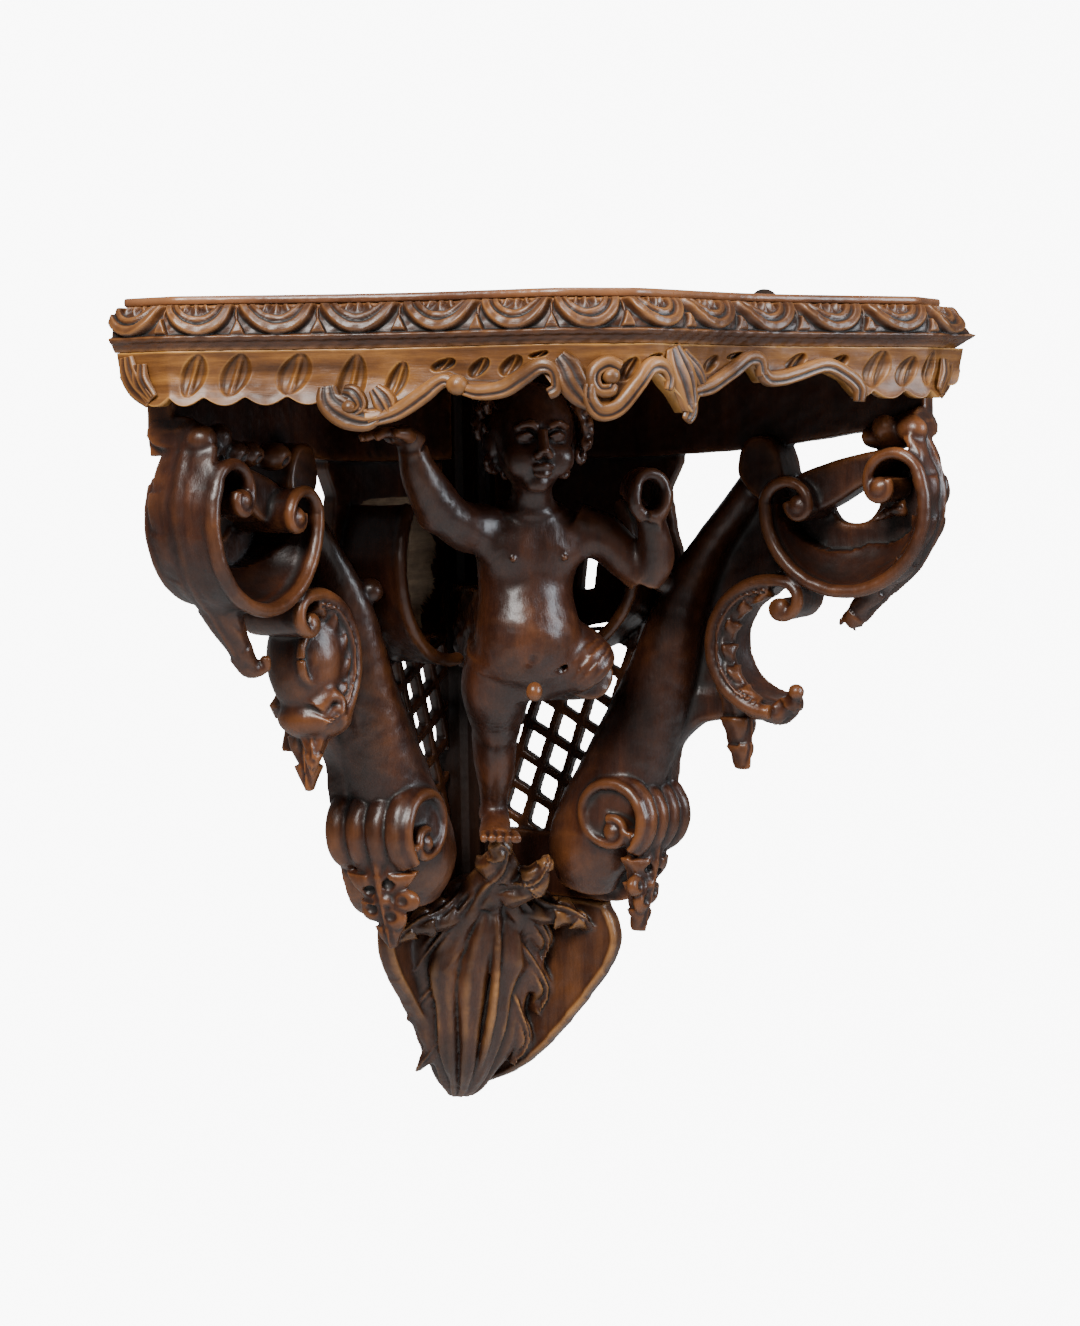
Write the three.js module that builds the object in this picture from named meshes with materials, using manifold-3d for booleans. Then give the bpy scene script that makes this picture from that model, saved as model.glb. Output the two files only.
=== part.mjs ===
// Carved walnut corner bracket: a serpentine shelf on two openwork wings, borne by a putto.
// Millimetres, +Z up. The bracket faces -Y and its two wings lie on walls that run at 45 degrees.
// Inside the source the room corner is the line x = 0, y = 0 and heights count down from the shelf
// top; the finished group is then moved so that the origin is on the corner post's flat back.

import * as THREE from "three";
import { mergeVertices } from "three/addons/utils/BufferGeometryUtils.js";
import Module from "manifold-3d";

const wasm = await Module();
wasm.setup();

// Overall sizes
const TOTAL_HEIGHT = 632; // shelf top to the tip of the drop
const SHELF_HALF_SPAN = 306; // middle of the shelf to the outer edge of its moulding
const MOUNT_DROP = 60; // shelf top above the origin
const CORNER_CUT = 10; // half width of the flat that clears the room's corner
const GAP = 0.3; // clearance between pieces that touch
const WALL_CLEAR = 3; // the shelf stays this far off the walls, behind it runs the hanging plate

// Shelf
const LIP_THICK = 6;
const LIP_SETBACK = 20; // lip behind the moulding's outer edge
const MOULDING_FOOT = 36; // underside of the moulding
const STRIP_DEPTH = 26; // how far the moulding strip reaches in from its outer edge
const BOARD_THICK = 24;
const LUNETTE_JOINT = 13; // a joint between two lunettes, this far right of the middle
const LUNETTE_PITCH_RIGHT = 55.5;
const LUNETTE_PITCH_LEFT = 52;
const LUNETTE_BAND = 6;
const LUNETTE_PROUD = 4;
const APRON_SETBACK = 8;
const APRON_THICK = 12;
const APRON_FOOT = 72;
const APRON_END = 34; // length over which the apron's ends round up
const SCALLOP_PITCH = 27;
const SCALLOP_RISE = 6;
const GOUGE_DEPTH = 4;
const GOUGE_WIDTH = 10;
const GOUGE_MARGIN = 5; // plain wood above and below a gouge
const END_FLARE = 10; // the moulding's right end runs out to a point
const END_FLARE_LENGTH = 24;
const RIBBON_WIDTH = 8;
const RIBBON_PROUD = 6;

// Wings: u runs along the wall from the corner, v is the height, w stands off the wall
const WING_SETBACK = 8; // the right wing's outermost leaf inside the end of the shelf
const LEFT_WING_SETBACK = 26; // the left wing was carved a little narrower
const WING_FOOT = 462; // foot of the wings and the post below the shelf top, where the drop begins
const POST_LEG = 40; // corner to the edge of the post, along each wall
const PANEL_THICK = 14;
const RELIEF = 56; // how far the scroll rims stand off the wall
const LEFT_RELIEF = 66; // the left wing was carved a little deeper
const BAND = 8; // thickness of a scroll's rim
const RAIL_THICK = 18;
const RAIL_BELOW = 12; // how far the rail's end shows under the apron's foot
const STRUT_RELIEF = 0.7; // of the relief, on the struts under the rail
const LATTICE_BAR = 7;
const LATTICE_THICK = 8;
const LATTICE_DOWN = 25.5; // pitch of the holes along the steep bars
const LATTICE_ACROSS = 22.6; // and along the shallow ones
const LATTICE_LEAN = 20; // degrees of the steep bars off the upright
const LATTICE_SLOPE = 28; // and of the shallow ones off the level
const EYE_RADIUS = 8;
const VOLUTE_HEEL = 0.5; // the volutes' backs, as a share of the relief
const REEDS = 3; // round the outside of the lower scroll

// Drop: how far its cheeks reach along the walls
const CHEEK_RIGHT = 148;
const CHEEK_LEFT = 138;
const CHEEK_LEAN = 12; // the left cheek is cut in by this much more, half-way down

// Putto
const FOOT_REST = 63; // sole above the wings' foot
const HEAD_ROOM = 30; // crown below the shelf board
const FIGURE_REACH = 240; // corner to the middle of the head
const HEAD_RADIUS = 31;
const BLOCK_WIDTH = 42; // the rough block behind the figure
const BLOCK_HEIGHT = 62;
const BLOCK_DROP = 188; // middle of the block below the crown

// Iron hanging plate at the back of the right wing
const PLATE_WIDTH = 24;
const PLATE_THICK = 2.4;
const PLATE_RISE = 13; // above the shelf top
const PLATE_TAIL = 52; // below the shelf top
const PLATE_U = 275;

const WALNUT = { color: 0x4a2414, roughness: 0.42, metalness: 0 };
const WORN_WALNUT = { color: 0x8a4f22, roughness: 0.45, metalness: 0 };
const DARK_WALNUT = { color: 0x2b1510, roughness: 0.5, metalness: 0 };
const IRON = { color: 0x1a1817, roughness: 0.6, metalness: 0.8 };

const radians = THREE.MathUtils.degToRad;
const lerp = THREE.MathUtils.lerp;
const clamp = THREE.MathUtils.clamp;
const mapLinear = THREE.MathUtils.mapLinear;

// Solids

function signedVolume(points, index) {
  const [a, b, c] = [new THREE.Vector3(), new THREE.Vector3(), new THREE.Vector3()];
  let sum = 0;
  for (let i = 0; i < index.length; i += 3) {
    a.fromArray(points, index[i] * 3);
    b.fromArray(points, index[i + 1] * 3);
    c.fromArray(points, index[i + 2] * 3);
    sum += a.dot(b.cross(c)) / 6;
  }
  return sum;
}

function toSolid(geometry) {
  const bare = geometry.clone();
  bare.deleteAttribute("normal");
  bare.deleteAttribute("uv");
  const merged = mergeVertices(bare, 1e-4);
  const points = merged.attributes.position.array;
  const faces = [];
  for (let i = 0; i < merged.index.count; i += 3) {
    const [a, b, c] = [0, 1, 2].map((k) => merged.index.array[i + k]);
    if (a !== b && b !== c && c !== a) faces.push(a, b, c);
  }
  if (signedVolume(points, faces) < 0) faces.reverse();
  const mesh = new wasm.Mesh({
    numProp: 3,
    vertProperties: Float32Array.from(points),
    triVerts: Uint32Array.from(faces),
  });
  return new wasm.Manifold(mesh);
}

function toGeometry(solid) {
  const mesh = solid.getMesh();
  const geometry = new THREE.BufferGeometry();
  geometry.setAttribute("position", new THREE.BufferAttribute(Float32Array.from(mesh.vertProperties), 3));
  geometry.setIndex(Array.from(mesh.triVerts));
  return geometry;
}

function join(solids) {
  return solids.reduce((all, next) => all.add(next));
}

function node(name, solid, look) {
  const geometry = toGeometry(solid);
  geometry.computeVertexNormals();
  const mesh = new THREE.Mesh(geometry, new THREE.MeshStandardMaterial(look));
  mesh.name = name;
  return mesh;
}

// A closed tube of sides x steps faces. at(t, i) gives the point of section corner i at t = 0..1
// along the tube, and at(t, -1) the middle of the section, for the two end caps.
function loft(sides, steps, at) {
  const geometry = new THREE.CylinderGeometry(1, 1, 1, sides, steps);
  const position = geometry.attributes.position;
  for (let k = 0; k < position.count; k += 1) {
    const [x, y, z] = [position.getX(k), position.getY(k), position.getZ(k)];
    const step = Math.round((y + 0.5) * steps);
    const turn = Math.round((Math.atan2(x, z) / (2 * Math.PI)) * sides);
    const corner = Math.hypot(x, z) < 0.5 ? -1 : (turn + sides) % sides;
    const point = at(step / steps, corner);
    position.setXYZ(k, point.x, point.y, point.z);
  }
  return toSolid(geometry);
}

function sectionMiddle(section) {
  const sum = section.reduce((all, [a, b]) => [all[0] + a, all[1] + b], [0, 0]);
  return sum.map((value) => value / section.length);
}

// A soft limb or leaf along a smooth path; each knot is [x, y, z, half width, half depth]
function limb(knots, sides, steps, reference = new THREE.Vector3(0, 1, 0)) {
  const path = new THREE.CatmullRomCurve3(knots.map(([x, y, z]) => new THREE.Vector3(x, y, z)));
  const sizes = new THREE.CatmullRomCurve3(knots.map((knot) => new THREE.Vector3(knot[3], knot[4], 0)));
  return loft(sides, steps, (t, i) => {
    const middle = path.getPoint(t);
    if (i < 0) return middle;
    const along = path.getTangent(t);
    const across = new THREE.Vector3().crossVectors(along, reference).normalize();
    const deep = new THREE.Vector3().crossVectors(across, along);
    const size = sizes.getPoint(t);
    const turn = (2 * Math.PI * (i + 0.5)) / sides;
    middle.addScaledVector(across, Math.cos(turn) * size.x);
    return middle.addScaledVector(deep, Math.sin(turn) * size.y);
  });
}

function ball(x, y, z, rx, ry = rx, rz = rx, around = 8, down = 6) {
  const geometry = new THREE.SphereGeometry(1, around, down);
  geometry.rotateX(Math.PI / 2);
  geometry.scale(rx, ry, rz);
  geometry.translate(x, y, z);
  return toSolid(geometry);
}

function slab(points, low, high) {
  const shape = new THREE.Shape(points.map(([x, y]) => new THREE.Vector2(x, y)));
  const geometry = new THREE.ExtrudeGeometry(shape, { depth: high - low, bevelEnabled: false });
  geometry.translate(0, 0, low);
  return toSolid(geometry);
}

// Plan of the shelf: the outer edge of the moulding as [length along it, angle of its normal off
// the middle axis], from the middle of the front round to the wall, and then scaled to the span

const PLAN_TURNS = [
  [0, 0], [20, 2], [52, 34], [112, 34], [140, 26], [190, 16], [240, 11], [288, 13], [312, 45], [348, 45],
];
const PLAN_STEP = 2;

function planAngle(length) {
  let k = 0;
  while (k < PLAN_TURNS.length - 2 && PLAN_TURNS[k + 1][0] < length) k += 1;
  const [[s0, a0], [s1, a1]] = [PLAN_TURNS[k], PLAN_TURNS[k + 1]];
  return radians(lerp(a0, a1, clamp((length - s0) / (s1 - s0), 0, 1)));
}

function tracePlan() {
  const raw = [{ x: 0, y: 0, angle: 0 }];
  const rawLength = PLAN_TURNS[PLAN_TURNS.length - 1][0];
  for (let s = PLAN_STEP / 2; s < rawLength; s += PLAN_STEP) {
    const last = raw[raw.length - 1];
    const angle = planAngle(s);
    raw.push({ x: last.x + PLAN_STEP * Math.cos(angle), y: last.y + PLAN_STEP * Math.sin(angle), angle });
  }
  const end = raw[raw.length - 1];
  const scale = SHELF_HALF_SPAN / end.x;
  const front = SHELF_HALF_SPAN + WALL_CLEAR * Math.SQRT2 + end.y * scale;
  return {
    points: raw.map(({ x, y, angle }) => ({ x: x * scale, y: y * scale - front, angle })),
    halfLength: rawLength * scale,
  };
}

const plan = tracePlan();

// Point of the plan at a length from the middle of the front, negative to the left, set in by inset
function edge(length, inset, z) {
  const share = Math.min(Math.abs(length) / plan.halfLength, 1) * (plan.points.length - 1);
  const k = Math.min(Math.floor(share), plan.points.length - 2);
  const [a, b] = [plan.points[k], plan.points[k + 1]];
  const [x, y, angle] = ["x", "y", "angle"].map((key) => lerp(a[key], b[key], share - k));
  const side = Math.sign(length);
  return new THREE.Vector3(side * (x - Math.sin(angle) * inset), y + Math.cos(angle) * inset, z);
}

// A strip that follows the plan; section(length) gives its corners as [inset, height]
function strip(steps, section, from = -plan.halfLength, to = plan.halfLength) {
  const sides = section(from).length;
  return loft(sides, steps, (t, i) => {
    const length = lerp(from, to, t);
    const corners = section(length);
    const [inset, z] = i < 0 ? sectionMiddle(corners) : corners[i];
    return edge(length, inset, z);
  });
}

const MOULDING_STEPS = 20; // the board's edge has the same corners, so that it fits inside the moulding

// A level slab inside the plan; its back follows the walls and the corner's flat
function planSlab(inset, low, high, steps) {
  const back = -CORNER_CUT - WALL_CLEAR * Math.SQRT2;
  const points = [[CORNER_CUT, back]];
  for (let k = steps; k >= -steps; k -= 1) {
    const point = edge((k / steps) * plan.halfLength, inset, 0);
    points.push([point.x, point.y]);
  }
  points.push([-CORNER_CUT, back]);
  return slab(points, low, high);
}

function shelfBoard() {
  const lip = planSlab(LIP_SETBACK, -LIP_THICK, 0, 16);
  const core = planSlab(STRIP_DEPTH + GAP, -BOARD_THICK, -LIP_THICK / 2, MOULDING_STEPS / 2);
  return lip.add(core);
}

// Ends of the lunettes along the plan, from one end of the moulding to the other
function lunetteJoints() {
  const joints = [LUNETTE_JOINT];
  while (joints[joints.length - 1] < plan.halfLength) {
    joints.push(joints[joints.length - 1] + LUNETTE_PITCH_RIGHT);
  }
  while (joints[0] > -plan.halfLength) joints.unshift(joints[0] - LUNETTE_PITCH_LEFT);
  return joints;
}

function shelfMoulding() {
  const top = -LIP_THICK - GAP;
  const face = [[LIP_SETBACK, top], [6, lerp(top, -MOULDING_FOOT, 0.2)], [0, lerp(top, -MOULDING_FOOT, 0.7)]];
  const back = [[APRON_SETBACK, -MOULDING_FOOT], [STRIP_DEPTH, -MOULDING_FOOT], [STRIP_DEPTH, top]];
  const body = strip(MOULDING_STEPS, (length) => {
    const flare = END_FLARE * clamp(1 - (plan.halfLength - length) / END_FLARE_LENGTH, 0, 1);
    return [face[0], face[1], [face[2][0] - flare, face[2][1]], ...back];
  });
  const curve = new THREE.CatmullRomCurve3(face.map(([inset, z]) => new THREE.Vector3(inset, z, 0)));
  const joints = lunetteJoints();
  const lunettes = joints.slice(1).map((joint, k) => lunette(joints[k], joint, curve));
  return join([body, ...lunettes]);
}

// A raised half-round band that hangs from the top of the moulding between two joints
function lunette(from, to, face) {
  const half = LUNETTE_BAND / 2;
  const radius = (to - from) / 2 - half - 1;
  const reach = plan.halfLength - 1;
  return loft(3, 4, (t, i) => {
    const turn = Math.PI * t;
    const radial = radius + (i < 0 ? 0 : [-half, 0, half][i]);
    const proud = i < 0 ? 0 : [-1, LUNETTE_PROUD, -1][i];
    const point = face.getPoint(clamp((Math.sin(turn) * radial) / (radius + half + 1), 0.02, 1));
    const length = clamp((from + to) / 2 - Math.cos(turn) * radial, -reach, reach);
    return edge(length, point.x - proud, point.y);
  });
}

// The carved border of the apron as [length, height], from the leaf at the left to the last hook.
// The apron's foot follows it, and beyond its ends the foot is scalloped.
const BORDER = [
  [-188, -78], [-166, -80], [-150, -77], [-129, -67], [-113, -56], [-99, -62], [-74, -64], [-48, -50],
  [-37, -62], [-22, -60], [-7, -78], [8, -75], [21, -61], [32, -50], [46, -57], [60, -66], [72, -79],
  [82, -66], [94, -63], [121, -53], [138, -45], [149, -58], [177, -54], [201, -49], [218, -56], [231, -70],
];

function borderHeight(length) {
  const k = BORDER.findIndex(([s]) => s >= length);
  const [[s0, z0], [s1, z1]] = [BORDER[k - 1], BORDER[k]];
  return mapLinear(length, s0, s1, z0, z1);
}

function apronFoot(length) {
  const [first, last] = [BORDER[0][0], BORDER[BORDER.length - 1][0]];
  if (length > first && length < last) return borderHeight(length) - RIBBON_WIDTH / 2;
  const scallop = SCALLOP_RISE * (1 - Math.abs(Math.sin((Math.PI * length) / SCALLOP_PITCH)));
  const end = clamp((Math.abs(length) - plan.halfLength + APRON_END) / APRON_END, 0, 1);
  const round = (APRON_FOOT - MOULDING_FOOT) * 0.75 * (1 - Math.sqrt(1 - end * end));
  return -APRON_FOOT + scallop + round;
}

// A raised ribbon on the apron, drawn in [length along the edge, height]
function ribbon(knots, width = RIBBON_WIDTH) {
  const path = new THREE.CatmullRomCurve3(knots.map(([s, z]) => new THREE.Vector3(s, z, 0)));
  return loft(3, knots.length, (t, i) => {
    const point = path.getPoint(t);
    const along = path.getTangent(t);
    const [across, proud] = i < 0 ? [0, 0] : [[-1, -0.5], [0, 1], [1, -0.5]][i];
    point.x -= along.y * across * width * 0.6;
    point.y += along.x * across * width * 0.6;
    return edge(point.x, APRON_SETBACK - proud * RIBBON_PROUD, point.y);
  });
}

// The ribbons of the border: runs of S and C scrolls, the shell with its eye and two hanging leaves
function borderRibbons() {
  return [
    ribbon([[-186, -58], [-180, -72], [-166, -80]], RIBBON_WIDTH * 2),
    ribbon([[-162, -82], [-146, -77], [-129, -67], [-113, -56], [-104, -62]]),
    ribbon([[-100, -61], [-74, -64], [-48, -50], [-38, -54], [-38, -64]]),
    ribbon([[-30, -42], [-22, -58], [-8, -76]], RIBBON_WIDTH * 2.5),
    ribbon([[-8, -80], [8, -76], [21, -61], [32, -50], [47, -54], [50, -64]]),
    ribbon([[64, -40], [68, -58], [72, -80]], RIBBON_WIDTH * 2.5),
    ribbon([[78, -66], [94, -63], [121, -53], [137, -44], [147, -49], [148, -58]]),
    ribbon([[154, -54], [177, -54], [201, -49], [218, -56], [231, -67], [226, -74]]),
  ];
}

// A leaf-shaped gouge in the apron's face
function gouge(length) {
  const top = -MOULDING_FOOT - GOUGE_MARGIN;
  const foot = -APRON_FOOT + GOUGE_MARGIN * 2;
  const outside = -2;
  return loft(3, 2, (t, i) => {
    const open = Math.sin(Math.PI * clamp(t, 0.08, 0.92));
    const [across, deep] = i < 0 ? [0, 0] : [[-0.5, outside], [0, GOUGE_DEPTH], [0.5, outside]][i];
    return edge(length + across * GOUGE_WIDTH * open, APRON_SETBACK + deep * open, lerp(foot, top, t));
  });
}

const APRON_STEPS = 40;

function apron() {
  const top = -MOULDING_FOOT - GAP;
  const end = plan.halfLength - 2;
  const body = strip(APRON_STEPS, (length) => {
    const foot = apronFoot(length);
    const back = APRON_SETBACK + APRON_THICK;
    return [[APRON_SETBACK, top], [APRON_SETBACK, foot], [back, foot], [back, top]];
  }, -end, end);
  const first = BORDER[0][0] - RIBBON_WIDTH * 2;
  const last = BORDER[BORDER.length - 1][0] + RIBBON_WIDTH;
  const plain = lunetteJoints().filter((s) => Math.abs(s) < end - APRON_END && (s < first || s > last));
  const gouges = plain.flatMap((s) => [gouge(s - GOUGE_WIDTH * 0.6), gouge(s + GOUGE_WIDTH * 0.6)]);
  return join([body.subtract(join(gouges)), ...borderRibbons()]);
}

// Scroll bands. A path point is { u, v, nu, nv, roll }: nu, nv is the outward normal of the band
// and roll goes from 0 on the main arc to 1 deep in a volute.

function halfTurns(start, angle, hand, radii, step) {
  const points = [];
  let [centreU, centreV, radius] = [start.u, start.v, start.radius];
  let turn = angle;
  radii.forEach((next, k) => {
    centreU += (radius - next) * Math.cos(radians(turn));
    centreV += (radius - next) * Math.sin(radians(turn));
    radius = next;
    for (let done = step; done <= 180; done += step) {
      const here = radians(turn + hand * done);
      const roll = clamp((k + done / 180) / radii.length + 0.25, 0, 1);
      const [nu, nv] = [Math.cos(here), Math.sin(here)];
      points.push({ u: centreU + radius * nu, v: centreV + radius * nv, nu, nv, roll });
    }
    turn += hand * 180;
  });
  return { points, eye: { u: centreU, v: centreV } };
}

// The main arc turns counter-clockwise about (u, v) from angle from to angle to; each end rolls on
// through half turns of the radii listed in head (at from) and tail (at to)
function scroll({ u, v, radius, from, to, head = [], tail = [], step = 30 }) {
  const arc = [];
  const count = Math.round((to - from) / step);
  for (let k = 0; k <= count; k += 1) {
    const here = radians(lerp(from, to, k / count));
    const [nu, nv] = [Math.cos(here), Math.sin(here)];
    arc.push({ u: u + radius * nu, v: v + radius * nv, nu, nv, roll: 0 });
  }
  const start = { u, v, radius };
  const before = halfTurns(start, from, -1, head, 60);
  const after = halfTurns(start, to, 1, tail, 60);
  const eyes = [head.length ? before.eye : null, tail.length ? after.eye : null].filter(Boolean);
  return { points: [...before.points.reverse(), ...arc, ...after.points], eyes };
}

// The end of the shelf, measured along the wall from the corner
const shelfEnd = SHELF_HALF_SPAN * Math.SQRT2 + WALL_CLEAR;

// The wing is drawn on a sheet, whose edges stand for the post's edge, the reach, the moulding's
// underside and the foot. A wing's spot(u, v) brings a point of the sheet to its place on the wall.
const SHEET = { inner: 40.3, outer: 428, top: -36.3, foot: -462 };

function spotOn(reach) {
  return (u, v) => [
    mapLinear(u, SHEET.inner, SHEET.outer, POST_LEG + GAP, reach),
    mapLinear(v, SHEET.top, SHEET.foot, -MOULDING_FOOT - GAP, -WING_FOOT),
  ];
}

function drawn(spot, points, low, high) {
  return slab(points.map(([u, v]) => spot(u, v)), low, high);
}

// A limb in the wing's frame; its half widths lie across the wall and off it
function drawnLimb(spot, knots, sides, steps) {
  const placed = knots.map(([u, v, w, wide, deep]) => [...spot(u, v), w, wide, deep]);
  return limb(placed, sides, steps, new THREE.Vector3(0, 0, 1));
}

// The band itself, dished towards the wall by dish and leaning back by taper
function band(spot, path, { front = RELIEF, back = 4, dish = 6, taper = 6, thick = BAND }) {
  const last = path.points.length - 1;
  return loft(4, last, (t, i) => {
    const { u, v, nu, nv, roll } = path.points[Math.round(t * last)];
    const heel = lerp(back, front * VOLUTE_HEEL, roll);
    const hollow = lerp(dish, 0, Math.min(1, roll * 2));
    const lean = lerp(taper, 0, roll);
    const rim = lerp(thick, thick * 0.7, roll);
    const section = [[0, front], [rim, front], [rim + hollow + lean, heel], [lean, heel]];
    const [inward, w] = i < 0 ? sectionMiddle(section) : section[i];
    const [placedU, placedV] = spot(u, v);
    return new THREE.Vector3(placedU - nu * inward, placedV - nv * inward, w);
  });
}

// The button in the middle of a volute
function eyeButton(spot, { u, v }, front = RELIEF, radius = EYE_RADIUS) {
  const back = front * VOLUTE_HEEL;
  const profile = [[0, back], [radius, back], [radius * 0.8, front], [0, front + 4]];
  const geometry = new THREE.LatheGeometry(profile.map(([r, h]) => new THREE.Vector2(r, h)), 6);
  geometry.rotateX(Math.PI / 2);
  geometry.translate(...spot(u, v), 0);
  return toSolid(geometry);
}

function scrollSolids(spot, path, options) {
  return [band(spot, path, options), ...path.eyes.map((eye) => eyeButton(spot, eye, options.front))];
}

const lowerCentre = { u: 169, v: -388, radius: 31 };
const upperScroll = scroll({ u: 361, v: -148, radius: 66, from: 180, to: 385, head: [21, 11], tail: [23, 11] });
const middleScroll = scroll({ u: 303, v: -252, radius: 53, from: 75, to: 265, head: [16, 8] });
const lowerScroll = scroll({ ...lowerCentre, from: -50, to: 100, tail: [27, 13] });
const innerScroll = scroll({ u: 116, v: -190, radius: 78, from: -95, to: 35 });

// The board under the shelf that the whole wing hangs from; its end stops inside the apron
function wallRail(spot) {
  const insideApron = shelfEnd - APRON_SETBACK - APRON_THICK - GAP;
  const end = Math.min(spot(410, 0)[0], insideApron);
  const foot = [
    [408, -105], [384, -99], [370, -94], [318, -101], [274, -106], [232, -109], [150, -112],
    [SHEET.inner, -112],
  ];
  const underMoulding = -MOULDING_FOOT - GAP;
  const underBoard = -BOARD_THICK - GAP;
  const insideMoulding = shelfEnd - STRIP_DEPTH - GAP;
  const outline = [
    [POST_LEG + GAP, underBoard], [insideMoulding, underBoard], [insideMoulding, underMoulding],
    [end, underMoulding], [end, -APRON_FOOT - RAIL_BELOW], ...foot.map((point) => spot(...point)),
  ];
  return slab(outline, 0, RAIL_THICK);
}

// The smooth diagonal stem, proud along its inner edge and thinner towards the outside
function stem(spot) {
  const back = drawn(spot, [
    [296, -100], [271, -104], [272, -134], [247, -160], [214, -192], [204, -214], [183, -288], [128, -372],
    [104, -420], [112, -452], [150, SHEET.foot], [178, -440], [198, -372], [205, -334], [224, -313],
    [250, -305], [256, -258], [280, -214], [304, -186], [300, -150],
  ], 0, PANEL_THICK);
  const swell = drawnLimb(spot, [
    [284, -112, 14, 12, 12], [266, -140, 20, 14, 22], [236, -180, 22, 16, 26], [216, -222, 22, 22, 26],
    [194, -288, 24, 28, 26], [163, -360, 28, 35, 28], [138, -412, 30, 36, 30], [128, -446, 24, 24, 20],
  ], 6, 7);
  const strut = [[276, -100], [296, -100], [306, -126], [292, -146], [270, -126]];
  const endBlock = [[366, -92], [400, -80], [419, -78], [409, -108], [366, -106]];
  return [back, swell, ...[strut, endBlock].map((points) => drawn(spot, points, 0, RELIEF * STRUT_RELIEF))];
}

function inside([x, y], outline) {
  let crossings = 0;
  outline.forEach(([x0, y0], k) => {
    const [x1, y1] = outline[(k + 1) % outline.length];
    if (y0 > y !== y1 > y && x < mapLinear(y, y0, y1, x0, x1)) crossings += 1;
  });
  return crossings % 2 === 1;
}

// The pierced panel between the post and the stem, with leaning diamond holes
function lattice(spot) {
  const outline = [
    [SHEET.inner, -250], [150, -244], [204, -214], [190, -288], [134, -372], [112, -430], [SHEET.inner, -430],
  ];
  const down = new THREE.Vector2(0, -1).rotateAround(new THREE.Vector2(), radians(-LATTICE_LEAN));
  const across = new THREE.Vector2(-1, 0).rotateAround(new THREE.Vector2(), radians(-LATTICE_SLOPE));
  const first = new THREE.Vector2(112, -303); // middle of the hole that the others are counted from
  const half = [(LATTICE_DOWN - LATTICE_BAR) / 2, (LATTICE_ACROSS - LATTICE_BAR) / 2];
  const holes = [];
  for (let i = -3; i <= 5; i += 1) {
    for (let j = -5; j <= 5; j += 1) {
      const middle = first.clone().addScaledVector(down, i * LATTICE_DOWN);
      middle.addScaledVector(across, j * LATTICE_ACROSS);
      const corners = [[-1, -1], [-1, 1], [1, 1], [1, -1]].map(([a, b]) => (
        middle.clone().addScaledVector(down, a * half[0]).addScaledVector(across, b * half[1]).toArray()
      ));
      if (corners.every((corner) => inside(corner, outline))) {
        holes.push(drawn(spot, corners, 0, PANEL_THICK));
      }
    }
  }
  return drawn(spot, outline, 3, 3 + LATTICE_THICK).subtract(join(holes));
}

// The dark board behind the inner scroll, with a small hole, and the solid foot of the panel
function backing(spot) {
  const board = drawn(spot, [
    [SHEET.inner, -100], [208, -100], [208, -116], [197, -137], [202, -169], [208, -190], [204, -232],
    [SHEET.inner, -256],
  ], 0, PANEL_THICK - 4);
  const hole = drawn(spot, [[122, -188], [134, -190], [130, -214], [118, -216]], -1, PANEL_THICK);
  const foot = drawn(spot, [
    [SHEET.inner, -410], [122, -410], [140, SHEET.foot], [SHEET.inner, SHEET.foot],
  ], 0, PANEL_THICK);
  return [board.subtract(hole), foot];
}

// The acanthus leaf that wraps the outer arm of the upper scroll, and ends in a hanging tip
function upperLeaf(spot, tip) {
  return drawnLimb(spot, [
    [410, -98, 30, 5, 18], [422, -128, 31, 6, 23], [421, -156, 31, 7, 23], [406, -187, 30, 7, 21],
    [382, -208, 28, 8, 18], [lerp(382, tip.u, 0.6), lerp(-213, tip.v, 0.6), 28, 7, 11],
    [tip.u, tip.v, tip.w, 4, 5],
  ], 5, 7);
}

// The curled leaf and the short pendant at the foot of the middle scroll
function middleLeaf(spot, reach) {
  return [
    drawnLimb(spot, [
      [282, -300, 30, 7, 22], [lerp(282, reach, 0.45), -303, 32, 8, 20],
      [lerp(282, reach, 0.82), -295, 38, 8, 16], [reach, -284, 44, 6, 10],
    ], 5, 4),
    drawnLimb(spot, [[262, -284, 22, 14, 14], [263, -318, 22, 9, 12], [266, -343, 24, 5, 7]], 5, 3),
  ];
}

// Five-petalled flower that faces outwards below the lower scroll
function flower(spot) {
  const [u, v, w] = [...spot(182, -440), 38];
  const petals = [];
  for (let k = 0; k < 5; k += 1) {
    const geometry = new THREE.SphereGeometry(1, 4, 3);
    geometry.scale(4, 10, 14);
    geometry.translate(0, 0, -15);
    geometry.rotateX(radians(72 * k));
    geometry.rotateZ(radians(-12));
    geometry.translate(u, v, w);
    petals.push(toSolid(geometry));
  }
  return [...petals, ball(u + 3, v, w, 6, 6, 6, 5, 4)];
}

function lowerPendant(spot) {
  return drawnLimb(spot, [
    [192, -400, 34, 10, 28], [188, -424, 34, 10, 24], [184, -450, 36, 7, 14], [182, -470, 38, 4, 6],
  ], 5, 3);
}

// Reeds that run round the outside of the lower scroll, the lowest nearest the wall
function lowerReeds(spot) {
  const half = RELIEF / (2 * REEDS);
  return Array.from({ length: REEDS }, (_, k) => {
    const share = k / (REEDS - 1);
    return loft(3, 4, (t, i) => {
      const turn = radians(lerp(-50, 110, t));
      const [out, side] = i < 0 ? [0, 0] : [[4, 0], [-8, half], [-8, -half]][i];
      const radius = lowerCentre.radius + lerp(12, 1, share) * Math.cos(turn) ** 2 + out;
      const [u, v] = spot(lowerCentre.u + radius * Math.cos(turn), lowerCentre.v + radius * Math.sin(turn));
      return new THREE.Vector3(u, v, lerp(half * 2, RELIEF - half, share) + side);
    });
  });
}

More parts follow.
